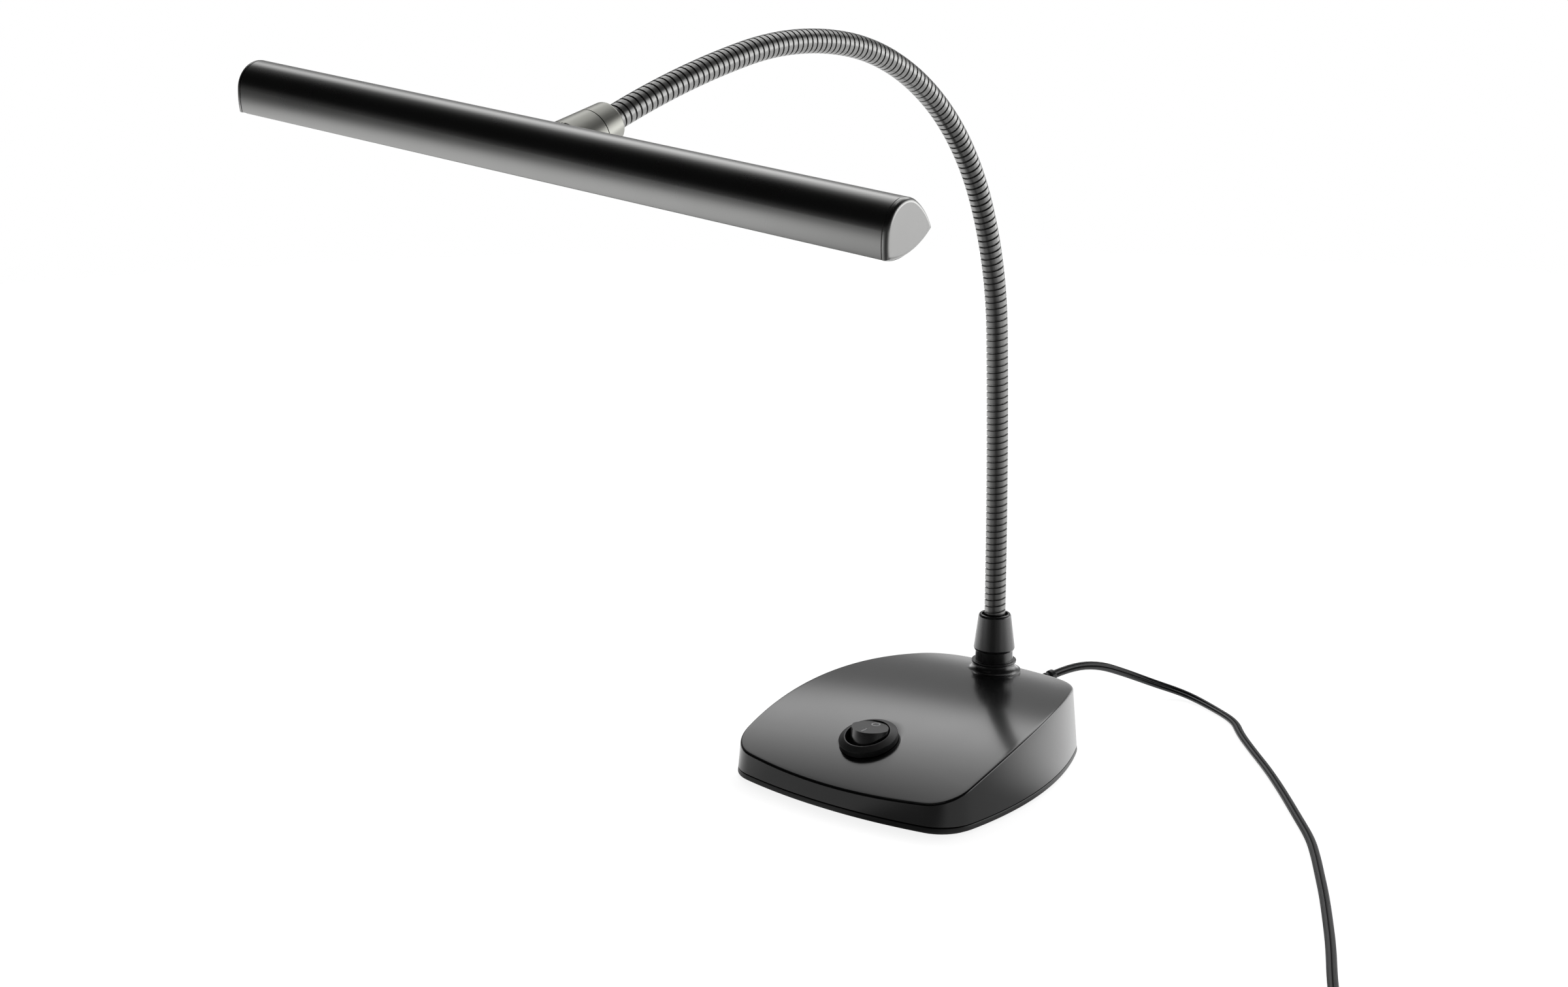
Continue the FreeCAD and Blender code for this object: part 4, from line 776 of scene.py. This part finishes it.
class LAMP_OT_switch(bpy.types.Operator):
    """Builds the bezel, the rocker and its two marks"""

    bl_idname = "lamp.switch"
    bl_label = "Rocker switch"

    def execute(self, context):
        scene = context.scene
        tones, size = scene.lamp_colours, in_mm(scene.lamp_switch)
        place = switch_frame(scene)
        # Glass-filled nylon: matt, with the fine texture of its mould.
        nylon = satin_abs("Nylon fine texture", tones.switch, 0.4, 0.3 * MM, 0.008 * MM, 0.8)
        body = turned([
            (0.5, -size.depth), (size.hole - 0.1, -size.depth), (size.hole - 0.1, 0.0), (size.bezel, 0.0),
            (size.bezel, size.rim), (size.opening + size.lip, size.height), (size.opening, size.height),
            (size.opening, size.floor - size.depth), (0.5, size.floor - size.depth),
        ], 96, 0.16, 3, 18)
        even_shading(piece("switch_bezel", moved(body, place), "base", nylon, ["switch_body"]))
        # Polycarbonate from a polished mould: smoother than the bezel, so its face catches the light.
        gloss = satin_abs("Polycarbonate satin", tones.switch, 0.26, 0.4 * MM, 0.002 * MM, 0.9, 0.5)
        rocker = copied("rocker")
        bmesh.ops.dissolve_limit(rocker, angle_limit=math.radians(1.0), verts=rocker.verts, edges=rocker.edges)
        rocker = piece("rocker_button", rocker, "rocker", gloss, ["rocker"])
        even_shading(rounded(rocker, 0.3 * MM, 30))
        self.marks(place, tones, scene.lamp_switch)
        return {"FINISHED"}

    def marks(self, place, tones, switch):
        """The off ring and the on bar, printed on the rocker's face."""
        # Pad-printed ink: a thin white film, dense and slightly uneven.
        ink = plain_mould("Ink pad printed", tones.mark, 0.35, 0.3 * MM, 0.004 * MM)
        pivot = Matrix.Translation((0, 0, switch.height - switch.pivot))
        face = place @ pivot @ Matrix.Rotation(-switch.tilt, 4, "X") @ Matrix.Translation((0, 0, switch.face))
        ring = bmesh.new()
        bmesh.ops.create_circle(ring, cap_ends=True, radius=switch.mark_radius, segments=48)
        bmesh.ops.inset_region(ring, faces=ring.faces, thickness=switch.mark_line, use_boundary=True,
                               use_even_offset=True)
        middle = min(ring.faces, key=lambda item: item.calc_center_median().length)
        bmesh.ops.delete(ring, geom=[middle], context="FACES_ONLY")
        bar = bmesh.new()
        bmesh.ops.create_grid(bar, x_segments=1, y_segments=1, size=0.5,
                              matrix=Matrix.Diagonal((switch.mark_line, switch.mark_bar, 1, 1)))
        ink_line, lift = 0.02 * MM, 0.015 * MM
        for name, mark, side in (("mark_off", ring, 1), ("mark_on", bar, -1)):
            bmesh.ops.solidify(mark, geom=mark.faces, thickness=-ink_line)
            moved(mark, face @ Matrix.Translation((0, side * switch.mark_place, lift)))
            faced_out(mark)
            piece(name, mark, "rocker", ink)


class LAMP_OT_gooseneck(bpy.types.Operator):
    """Winds the gooseneck's strip in one piece for each joint, bent along the neck's runs"""

    bl_idname = "lamp.gooseneck"
    bl_label = "Gooseneck"

    def execute(self, context):
        neck = context.scene.lamp_neck
        runs = neck_runs(neck)
        starts = [0.0]
        for run in runs[:-1]:
            starts.append(starts[-1] + run[2])
        cuts = [0.0] + [(a + b) / 2 for a, b in zip(starts[1:-1], starts[2:])]
        cuts[-1] = starts[-1] + neck.tuck
        # Rolled steel strip in black nickel: dark mirror-like ribbons with sharp dark grooves between them.
        tone = context.scene.lamp_colours.neck
        coated = black_metal("Steel strip black nickel", tone, 0.3, 0.35 * MM, 0.001 * MM)
        for joint in range(1, len(runs) - 1):
            low, high = cuts[joint - 1], cuts[joint]
            strip = self.wound(neck, low, high)
            for vert in strip.verts:
                vert.co = self.bent(vert.co, runs, starts)
            faced_out(strip)
            replaced = ["gooseneck_0", "gooseneck_1"] if joint == 1 else ["gooseneck_%d" % joint]
            strip = piece("gooseneck_winding_%d" % joint, strip, None, coated, replaced, 35)
            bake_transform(strip)
        return {"FINISHED"}

    def wound(self, neck, low, high):
        """Closed helical strip along Z, whose turns touch at their feet and leave a groove at their tops."""
        radius, pitch, edge = neck.radius, neck.pitch, neck.edge
        floor, groove = radius - neck.groove_depth, neck.groove
        profile = [
            (floor - neck.strip, 0.0), (floor, 0.0), (radius - edge, 0.0), (radius, edge),
            (radius, pitch - groove - edge), (radius - edge, pitch - groove), (floor, pitch - groove),
            (floor, pitch), (floor - neck.strip, pitch),
        ]
        turns = math.ceil((high - low) / pitch)
        made = bmesh.new()
        phase = Matrix.Rotation(math.tau * low / pitch, 4, "Z")
        corners = [made.verts.new(phase @ Vector((r, 0, low + z))) for r, z in profile]
        sides = [made.edges.new(pair) for pair in zip(corners, corners[1:] + corners[:1])]
        bmesh.ops.spin(made, geom=corners + sides, cent=(0, 0, 0), axis=AXIS_Z, angle=math.tau * turns,
                       steps=neck.steps * turns, dvec=(0, 0, pitch / neck.steps))
        return made

    def bent(self, spot, runs, starts):
        """Carries a point round the straight axis to its place round the bent neck."""
        index = max(k for k in range(len(runs)) if k == 0 or starts[k] <= spot.z)
        middle, lean = neck_point(runs[index], spot.z - starts[index])
        return middle + AXIS_X * spot.x + Vector((0, math.cos(lean), math.sin(lean))) * spot.y


class LAMP_OT_swivel(bpy.types.Operator):
    """Builds the collar on the neck and the cone that runs into the head"""

    bl_idname = "lamp.swivel"
    bl_label = "Swivel"

    def execute(self, context):
        scene = context.scene
        head = scene.lamp_head
        # Turned aluminium, blasted and anodised: a soft even sheen, duller than the lacquered head.
        tone = scene.lamp_colours.collar
        anodised = black_metal("Aluminium black anodised satin", tone, 0.36, 0.4 * MM, 0.002 * MM)
        size = in_mm(head)
        rim, long = size.collar_radius, size.collar
        collar = turned([(size.collar_bore, 0.0), (rim, 0.0), (rim + CONE_SLOPE * long, long),
                         (size.collar_bore, long)], 96)
        outer = [edge for edge in sharp_edges(collar, 60)
                 if all(vert.co.z < 0.01 * MM and vert.co.xy.length > 6 * MM for vert in edge.verts)]
        bevelled(collar, outer, head.collar_edge, 5)
        bevelled(collar, sharp_edges(collar, 60), 0.15 * MM, 2)
        moved(collar, swivel_matrices(scene)[0])
        for name, made, body, replaced in (("neck_collar_cap", collar, "neck_7", "neck_collar"),
                                           ("head_cone_shell", copied("head_cone"), "head", "head_cone")):
            even_shading(piece(name, made, body, anodised, [replaced]))
        return {"FINISHED"}


class LAMP_OT_head(bpy.types.Operator):
    """Builds the head's extrusion, its end caps and the frosted diffuser"""

    bl_idname = "lamp.head"
    bl_label = "Head"

    def execute(self, context):
        scene = context.scene
        head, tones = scene.lamp_head, scene.lamp_colours
        place = swivel_matrices(scene)[1]
        half = head.length / 2
        inner = half - head.cap
        # Extruded aluminium, lacquered black: streaks along the drawing direction in a dark mirror-like skin.
        lacquer = black_metal("Aluminium black lacquered", tones.head, 0.28, 0.5 * MM, 0.001 * MM, (0.08, 1, 1))
        housing = bmesh.new()
        drawn_out(housing, head_section(housing, head, under=False), -inner, inner)
        self.outwards(moved(housing, place), place)
        housing = piece("head_housing", housing, "head", lacquer, ["head_shell"])
        even_shading(rounded(thickened(housing, head.wall), 0.3 * MM, 50))
        # Moulded caps under the same metallised lacquer, a little smoother because they aren't drawn.
        gloss = black_metal("ABS metallised black lacquer", tones.cap, 0.26, 0.5 * MM, 0.001 * MM)
        low = inner + 0.12 * MM
        for side, hand in ((1, "right"), (-1, "left")):
            cap = bmesh.new()
            drawn_out(cap, head_section(cap, head), side * low, side * half)
            bmesh.ops.holes_fill(cap, edges=cap.edges, sides=0)
            faced_out(cap)
            face = [edge for edge in sharp_edges(cap, 50)
                    if all(abs(abs(vert.co.x) - half) < 0.01 * MM for vert in edge.verts)]
            bevelled(cap, face, head.cap_edge, 5)
            cap = piece("head_cap_" + hand, moved(cap, place), "head", gloss, ["end_cap_" + hand])
            even_shading(cap)
        # Extruded acrylic, matt from its frosting: milky, with a faint grain that breaks its gloss.
        values = {"Roughness": 0.55, "IOR": 1.49, "Subsurface Weight": 0.25, "Subsurface Radius": [4 * MM] * 3}
        frost = (0.5 * MM, 3.0)
        acrylic = finished("PMMA frosted diffuser", values, tones.lens, (0.94, 1.0), None, frost, frost,
                           0.01 * MM, 0.4)
        lens = bmesh.new()
        edges = head_section(lens, head, inset=head.wall, outer=False)
        moved(lens, Matrix.Translation((0, 0, -head.lens_step)))
        long = inner - 0.05 * MM
        drawn_out(lens, edges, -long, long)
        self.outwards(moved(lens, place), place)
        lens = piece("head_diffuser", lens, "head", acrylic, ["lens"])
        rounded(thickened(lens, head.lens), 0.2 * MM, 50)
        return {"FINISHED"}

    def outwards(self, made, place):
        """Turns an open skin's faces away from the head's middle."""
        centre = place @ Vector((0, 0, 0))
        face = max(made.faces, key=lambda item: item.calc_area())
        if (face.calc_center_median() - centre).dot(face.normal) < 0:
            bmesh.ops.reverse_faces(made, faces=made.faces)


class LAMP_OT_lead(bpy.types.Operator):
    """Lays the flat twin lead from its strain relief to the tied coil and the plug"""

    bl_idname = "lamp.lead"
    bl_label = "Lead and plug"

    def execute(self, context):
        scene = context.scene
        lead, tones = scene.lamp_lead, scene.lamp_colours
        # Extruded soft PVC: waxy, greyed by handling, with a broad highlight on each core.
        pvc = soft_pvc("PVC black sheath", tones.lead, 0.30)
        relief = self.relief(pvc)
        tube, line = self.laid(self.route(lead), self.profile(lead), pvc)
        plug = self.plug(lead, pvc)
        tie = self.tie(lead)
        return {"FINISHED"}

    def route(self, lead):
        """Control points of the lead with their twist: the run to the coil, the coil's turns and the tail."""
        upright = math.radians(90)
        points = []
        for count, spot in enumerate(LEAD_ROUTE):
            laid = min(1.0, max(0.0, (count - 2) / 4))
            rising = min(1.0, max(0.0, (len(LEAD_ROUTE) - 1 - count) / 3))
            points.append((Vector(spot) * MM, upright * (1 - min(laid, rising))))
        pitch = (lead.thickness + COIL_GAP * MM) / SPLINE_PULL
        half = COIL_TURNS / 2 - COIL_STEP_UP / 2
        inner = lead.coil_radius / SPLINE_PULL - pitch * half / 2
        outer = inner + pitch * half
        for count in range(1, int(COIL_TURNS * COIL_STEPS)):
            turn = count / COIL_STEPS
            bearing = math.radians(COIL_START + 360 * turn)
            away = math.degrees(math.remainder(bearing - math.radians(TIE_TURN), math.tau))
            rise = TIE_RISE * math.exp(-(away / TIE_SPREAD) ** 2)
            radius, height = outer - pitch * turn, COIL_LOW
            if turn < COIL_ENTRY:
                height += COIL_SLOPE * (COIL_ENTRY - turn)
            elif half <= turn < half + COIL_STEP_UP:
                share = (turn - half) / COIL_STEP_UP
                height += (COIL_HIGH - COIL_LOW) * share * share * (3 - 2 * share)
            elif turn >= half:
                on = turn - half - COIL_STEP_UP
                radius = inner + pitch * (on - COIL_STEP_UP) + COIL_SHIFT * MM * min(1.0, on)
                radius = min(radius, outer)
                height = COIL_HIGH
            arm = Vector((math.cos(bearing), math.sin(bearing), 0)) * radius
            points.append((arm + Vector((*COIL_CENTRE, height + rise)) * MM, upright))
        for count, spot in enumerate(TAIL_ROUTE):
            points.append((Vector(spot) * MM, upright * max(0.0, 1 - count / 3)))
        return points

    def profile(self, lead):
        """Section of the twin lead: two round cores side by side in one sheath."""
        radius = lead.thickness / 2
        apart = lead.width / 2 - radius
        outline = []
        for side in (1, -1):
            for step in range(-5, 6):
                turn = math.radians(step * 26)
                outline.append((side * (apart + radius * math.cos(turn)), side * radius * math.sin(turn), 0))
            outline.append((0, side * lead.web / 2, 0))
        curve = bpy.data.curves.new("lead section", "CURVE")
        spline = curve.splines.new("POLY")
        spline.points.add(len(outline) - 1)
        for point, spot in zip(spline.points, outline):
            point.co = (*spot, 1)
        spline.use_cyclic_u = True
        return bpy.data.objects.new("lead section", curve)

    def laid(self, points, profile, finish):
        """The lead's mesh and the points of the line that it follows."""
        curve = bpy.data.curves.new("lead line", "CURVE")
        curve.dimensions = "3D"
        curve.twist_mode = "Z_UP"
        curve.resolution_u = 5
        spline = curve.splines.new("NURBS")
        spline.points.add(len(points) - 1)
        for point, (spot, twist) in zip(spline.points, points):
            point.co = (*spot, 1)
            point.tilt = twist
        spline.order_u = 3
        spline.use_endpoint_u = True
        route = bpy.data.objects.new("lead line", curve)
        bare = bpy.data.meshes.new_from_object(route)
        line = [vert.co.copy() for vert in bare.vertices]
        bpy.data.meshes.remove(bare)
        bpy.context.scene.collection.objects.link(profile)
        bpy.context.scene.collection.objects.link(route)
        curve.bevel_mode = "OBJECT"
        curve.bevel_object = profile
        curve.use_fill_caps = True
        bpy.context.view_layer.update()
        graph = bpy.context.evaluated_depsgraph_get()
        mesh = bpy.data.meshes.new_from_object(route.evaluated_get(graph))
        for spare in (route, profile):
            bpy.data.curves.remove(spare.data)
        mesh.materials.clear()
        mesh.materials.append(finish)
        mesh.name = "lead_cord"
        tube = shown("lead_cord", mesh, "base", ["cord", "cord_coil", "cord_tail"], 60)
        return tube, line

    def relief(self, finish):
        """Ribbed relief at the wall, with a knuckle, a tapered tail and a collar at its tip."""
        start, end = Vector(RELIEF_EXIT) + Vector((0, 0.8, 0)), Vector(RELIEF_END)
        long = (end - start).length
        knuckle = [(1.05, -0.6), (2.7, -0.4), (2.95, 0.6), (2.7, 1.6)]
        tail = [(1.75, 17.3), (1.75, long - 2.6), (2.45, long - 2.3), (2.45, long - 0.2), (2.1, long),
                (1.05, long)]
        made = turned(knuckle + ribs(6, 2.0, 2.5, 2.6, -0.09, RELIEF_RIB) + tail, 40, 0.18, 2, 30)
        moved(made, set_along(start * MM, end - start))
        neck = turned([(1.3, -5.8), (2.85, -5.8), (2.85, 0.9), (1.3, 0.9)], 40, 0.1, 2)
        moved(neck, set_along(Vector(RELIEF_EXIT) * MM, (0, 1, 0)))
        passed = bpy.data.meshes.new("relief neck")
        neck.to_mesh(passed)
        neck.free()
        made.from_mesh(passed)
        bpy.data.meshes.remove(passed)
        made = piece("strain_relief_sleeve", made, "base", finish, ["strain_relief"])
        return even_shading(made)

    def plug(self, lead, finish):
        """Low-voltage plug: a ribbed grip with a stepped boot, and a plated barrel."""
        turn = math.radians(PLUG_HEADING)
        out = Vector((math.cos(turn), math.sin(turn), 0))
        start = Vector(TAIL_ROUTE[-1])
        radius, long = lead.plug_radius / MM, lead.plug_length / MM
        profile = [(0.9, -0.5), (2.0, -0.5), (2.3, 0.4)] + ribs(4, 1.2, 2.9, 2.35, 0.42, BOOT_RIB)
        profile += [(radius - 0.8, 13.2), (radius, 14.4)] + ribs(5, 19.0, 2.2, radius, 0.0, GRIP_RIB)
        profile += [(radius, long - 0.8), (radius - 0.9, long), (0.9, long)]
        grip = moved(turned(profile, 48, 0.15, 2, 30), set_along(start * MM, out))
        grip = piece("plug_grip_moulding", grip, "base", finish, ["plug_grip"])
        # Turned brass with a nickel plating: bright, faintly warm, with fine turning marks.
        nickel = plain_metal("Brass nickel plated", "#c9c6bd", 0.2)
        barrel = turned([(1.25, 0), (2.75, 0), (2.75, 9.5), (1.25, 9.5)], 48, 0.2, 2)
        moved(barrel, set_along((start + out * long) * MM, out))
        barrel = piece("plug_barrel_sleeve", barrel, "base", nickel, ["plug_barrel"])
        return [even_shading(grip), even_shading(barrel)]

    def tie(self, lead):
        """Flat strap round the coil's turns, with rounded corners."""
        # Woven nylon tape: matt and coarse beside the smooth lead.
        nylon = plain_mould("Nylon woven strap", linear("#18181a"), 0.6, 0.6 * MM, 0.1 * MM)
        made = bmesh.new()
        across, wide, high = 14.3 * MM, 6 * MM, 8.2 * MM
        bmesh.ops.create_cube(made, size=1.0, matrix=Matrix.Diagonal((across, wide, high, 1)))
        ends = [face for face in made.faces if abs(face.normal.y) > 0.5]
        bmesh.ops.delete(made, geom=ends, context="FACES_ONLY")
        corners = [edge for edge in made.edges if abs(edge.verts[0].co.y - edge.verts[1].co.y) > 5 * MM]
        bevelled(made, corners, 1.8 * MM, 5)
        turn = Matrix.Rotation(math.radians(TIE_TURN), 4, "Z")
        middle = Matrix.Translation(Vector((*COIL_CENTRE, 4.35)) * MM)
        place = middle @ turn @ Matrix.Translation((lead.coil_radius, 0, 0))
        faced_out(moved(made, place))
        tie = piece("coil_tie_strap", made, "base", nylon, ["coil_tie"])
        return rounded(thickened(tie, 0.55 * MM), 0.15 * MM, 50, 2)


class LAMP_OT_inner_parts(bpy.types.Operator):
    """Gives the screws, boards, leads and other parts inside the lamp their materials"""

    bl_idname = "lamp.inner_parts"
    bl_label = "Inner parts"

    def execute(self, context):
        # Named for the real material and finish; none of these shows from outside but the screws and the pin.
        finishes = {
            "screw_steel": plain_metal("Steel zinc plated screw", "#b9bcc0", 0.3),
            "nut_steel": plain_metal("Steel zinc plated nut", "#b4b7ba", 0.33),
            "ballast_iron": plain_metal("Cast iron raw", "#5f5f61", 0.6, 1.2 * MM),
            "contact_brass": plain_metal("Brass rolled", "#c9a25a", 0.3),
            "plug_metal": plain_metal("Brass nickel plated pin", "#c9c6bd", 0.2),
            "board_green": plain_mould("Epoxy board green mask", linear("#1c5a35"), 0.35),
            "board_part_black": plain_mould("Epoxy moulding black", linear("#1d1d1e"), 0.5),
            "clamp_black": plain_mould("Nylon black clamp", linear("#202021"), 0.5),
            "board_white": plain_mould("Aluminium board white mask", linear("#e6e6e1"), 0.4),
            "led_yellow": plain_mould("Silicone phosphor", linear("#e3cf72"), 0.25),
            "wire_red": plain_mould("PVC red wire", linear("#a3242a"), 0.4),
            "cord_black": soft_pvc("PVC black inner lead", linear("#17181a"), 0.35),
        }
        slots = {entry["node"]: entry["material_slot"] for entry in frame["record"]["subparts"]}
        for name, shape in frame["nodes"].items():
            if shape.hide_render:
                continue
            finish = finishes[slots[name]]
            shape.data.materials.clear()
            shape.data.materials.append(finish)
        return {"FINISHED"}


class LAMP_OT_stage(bpy.types.Operator):
    """Sets the pale table, the studio's light and the camera"""

    bl_idname = "lamp.stage"
    bl_label = "Studio"

    def execute(self, context):
        scene = context.scene
        self.table(scene, scene.lamp_studio)
        self.surround(scene, scene.lamp_studio)
        camera = bpy.data.cameras.new("camera")
        camera.sensor_width = 36.0
        camera.lens = CAMERA_LENS
        shot = bpy.data.objects.new("camera", camera)
        shot.location = CAMERA_PLACE
        shot.rotation_euler = [math.radians(turn) for turn in CAMERA_TURN]
        scene.collection.objects.link(shot)
        scene.camera = shot
        scene.view_settings.view_transform = "Standard"
        return {"FINISHED"}

    def table(self, scene, studio):
        """Round white laminate table: even to the eye but for the lamp's shadow; in gloss a dark wedge and a
        painted shadow of the lamp next to it.
        """
        made = bmesh.new()
        bmesh.ops.create_circle(made, cap_ends=True, radius=studio.table, segments=96)
        mesh = bpy.data.meshes.new("table")
        made.to_mesh(mesh)
        made.free()
        white, tree, shader, place = material("Laminate white", {
            "Base Color": rgba(linear("#f2f2f2")), "Roughness": 0.7, "Specular IOR Level": 0.0})
        rays = node(tree, "ShaderNodeLightPath").outputs
        from_corner = node(tree, "ShaderNodeVectorMath", {1: SHADE_CORNER}, {0: place}, operation="SUBTRACT")
        shaded = towards(tree, from_corner.outputs["Vector"], studio.shade_turn)
        reach = node(tree, "ShaderNodeVectorMath", links={0: place}, operation="LENGTH").outputs["Value"]
        # Painted shadow in the gloss: next to the lamp the table glows only at the near level, standing in for
        # the lamp's shadow on it; the open table further out adds the gleam.
        beside = fade(tree, shaded, *SHADE_TURN, studio.shade, studio.nearby)
        away = joined(tree, "MULTIPLY", fade(tree, shaded, *OPEN_TURN), fade(tree, reach, *OPEN_REACH))
        behind = fade(tree, shaded, *BEHIND_TURN)
        open_part = joined(tree, "MULTIPLY", joined(tree, "MAXIMUM", away, behind), studio.gleam)
        gleam = joined(tree, "MULTIPLY", joined(tree, "ADD", beside, open_part),
                       fade(tree, reach, *FAR_REACH, 1.0, FAR_LEFT_OVER))
        mirrored = joined(tree, "MAXIMUM", rays["Is Glossy Ray"], rays["Is Transmission Ray"])
        strength = joined(tree, "ADD", joined(tree, "MULTIPLY", rays["Is Camera Ray"], studio.glow),
                          joined(tree, "MULTIPLY", mirrored, gleam))
        glow = node(tree, "ShaderNodeEmission", {"Color": (1, 1, 1, 1)}, {"Strength": strength})
        both = node(tree, "ShaderNodeAddShader", links={0: shader.outputs[0], 1: glow.outputs[0]})
        unlit = node(tree, "ShaderNodeMixShader", links={0: mirrored, 1: both.outputs[0], 2: glow.outputs[0]})
        output = next(item for item in tree.nodes if item.type == "OUTPUT_MATERIAL")
        tree.links.new(unlit.outputs[0], output.inputs["Surface"])
        mesh.materials.append(white)
        table = bpy.data.objects.new("table", mesh)
        scene.collection.objects.link(table)

    def surround(self, scene, studio):
        """Backdrop: white to the eye; for gloss and light a wall, a screen and a soft bank in a dark studio."""
        world = bpy.data.worlds.new("studio")
        world.use_nodes = True
        tree = world.node_tree
        tree.nodes.clear()
        aim = node(tree, "ShaderNodeTexCoord").outputs["Generated"]
        height = node(tree, "ShaderNodeSeparateXYZ", links={"Vector": aim}).outputs["Z"]
        behind = towards(tree, aim, studio.wall_turn)
        wall = joined(tree, "MULTIPLY", fade(tree, behind, *WALL_TURN, studio.dim, 1.0),
                      fade(tree, height, *WALL_TOP, studio.wall, WALL_LEFT_OVER * studio.wall))
        haze = joined(tree, "MULTIPLY", fade(tree, behind, *HAZE_TURN),
                      fade(tree, height, *WALL_TOP, 0.0, studio.haze))
        side = joined(tree, "MULTIPLY", fade(tree, towards(tree, aim, studio.side_turn), *SIDE_TURN),
                      fade(tree, height, *SIDE_TOP, studio.side, 0.0))
        bank = joined(tree, "MULTIPLY", fade(tree, towards(tree, aim, studio.bank_turn), *BANK_TURN),
                      fade(tree, height, *BANK_FOOT),
                      fade(tree, height, *BANK_TOP, studio.bank, BANK_LEFT_OVER * studio.bank))
        light = joined(tree, "ADD", wall, haze, side, bank)
        eye = node(tree, "ShaderNodeLightPath").outputs["Is Camera Ray"]
        paper = node(tree, "ShaderNodeMix", {3: 1.0}, {0: eye, 2: light}, data_type="FLOAT")
        back = node(tree, "ShaderNodeBackground", {"Color": (1, 1, 1, 1)}, {"Strength": paper.outputs[0]})
        node(tree, "ShaderNodeOutputWorld", links={"Surface": back.outputs["Background"]})
        scene.world = world


OPERATORS = (
    LAMP_OT_base, LAMP_OT_neck_foot, LAMP_OT_switch, LAMP_OT_gooseneck, LAMP_OT_swivel, LAMP_OT_head,
    LAMP_OT_lead, LAMP_OT_inner_parts, LAMP_OT_stage,
)


class LAMP_PT_panel(bpy.types.Panel):
    """Lists the lamp's sizes, its colours and the operators that build it"""

    bl_idname = "LAMP_PT_panel"
    bl_label = "Piano lamp"
    bl_space_type = "VIEW_3D"
    bl_region_type = "UI"
    bl_category = "Piano lamp"

    def draw(self, context):
        for name, group in GROUPS.items():
            box = self.layout.box()
            for field in group.__annotations__:
                box.prop(getattr(context.scene, name), field)
        for operator in OPERATORS:
            self.layout.operator(operator.bl_idname)


def register():
    for group in GROUPS.values():
        for field, made in group.__annotations__.items():
            made.keywords["name"] = field.replace("_", " ").capitalize()
        bpy.utils.register_class(group)
    for name, group in GROUPS.items():
        setattr(bpy.types.Scene, name, PointerProperty(type=group))
    for operator in OPERATORS:
        bpy.utils.register_class(operator)
    bpy.utils.register_class(LAMP_PT_panel)


def unregister():
    bpy.utils.unregister_class(LAMP_PT_panel)
    for operator in reversed(OPERATORS):
        bpy.utils.unregister_class(operator)
    for name in GROUPS:
        delattr(bpy.types.Scene, name)
    for group in GROUPS.values():
        bpy.utils.unregister_class(group)


def main():
    register()
    for operator in OPERATORS:
        getattr(bpy.ops.lamp, operator.bl_idname.split(".")[1])()


if __name__ == "__main__":
    main()
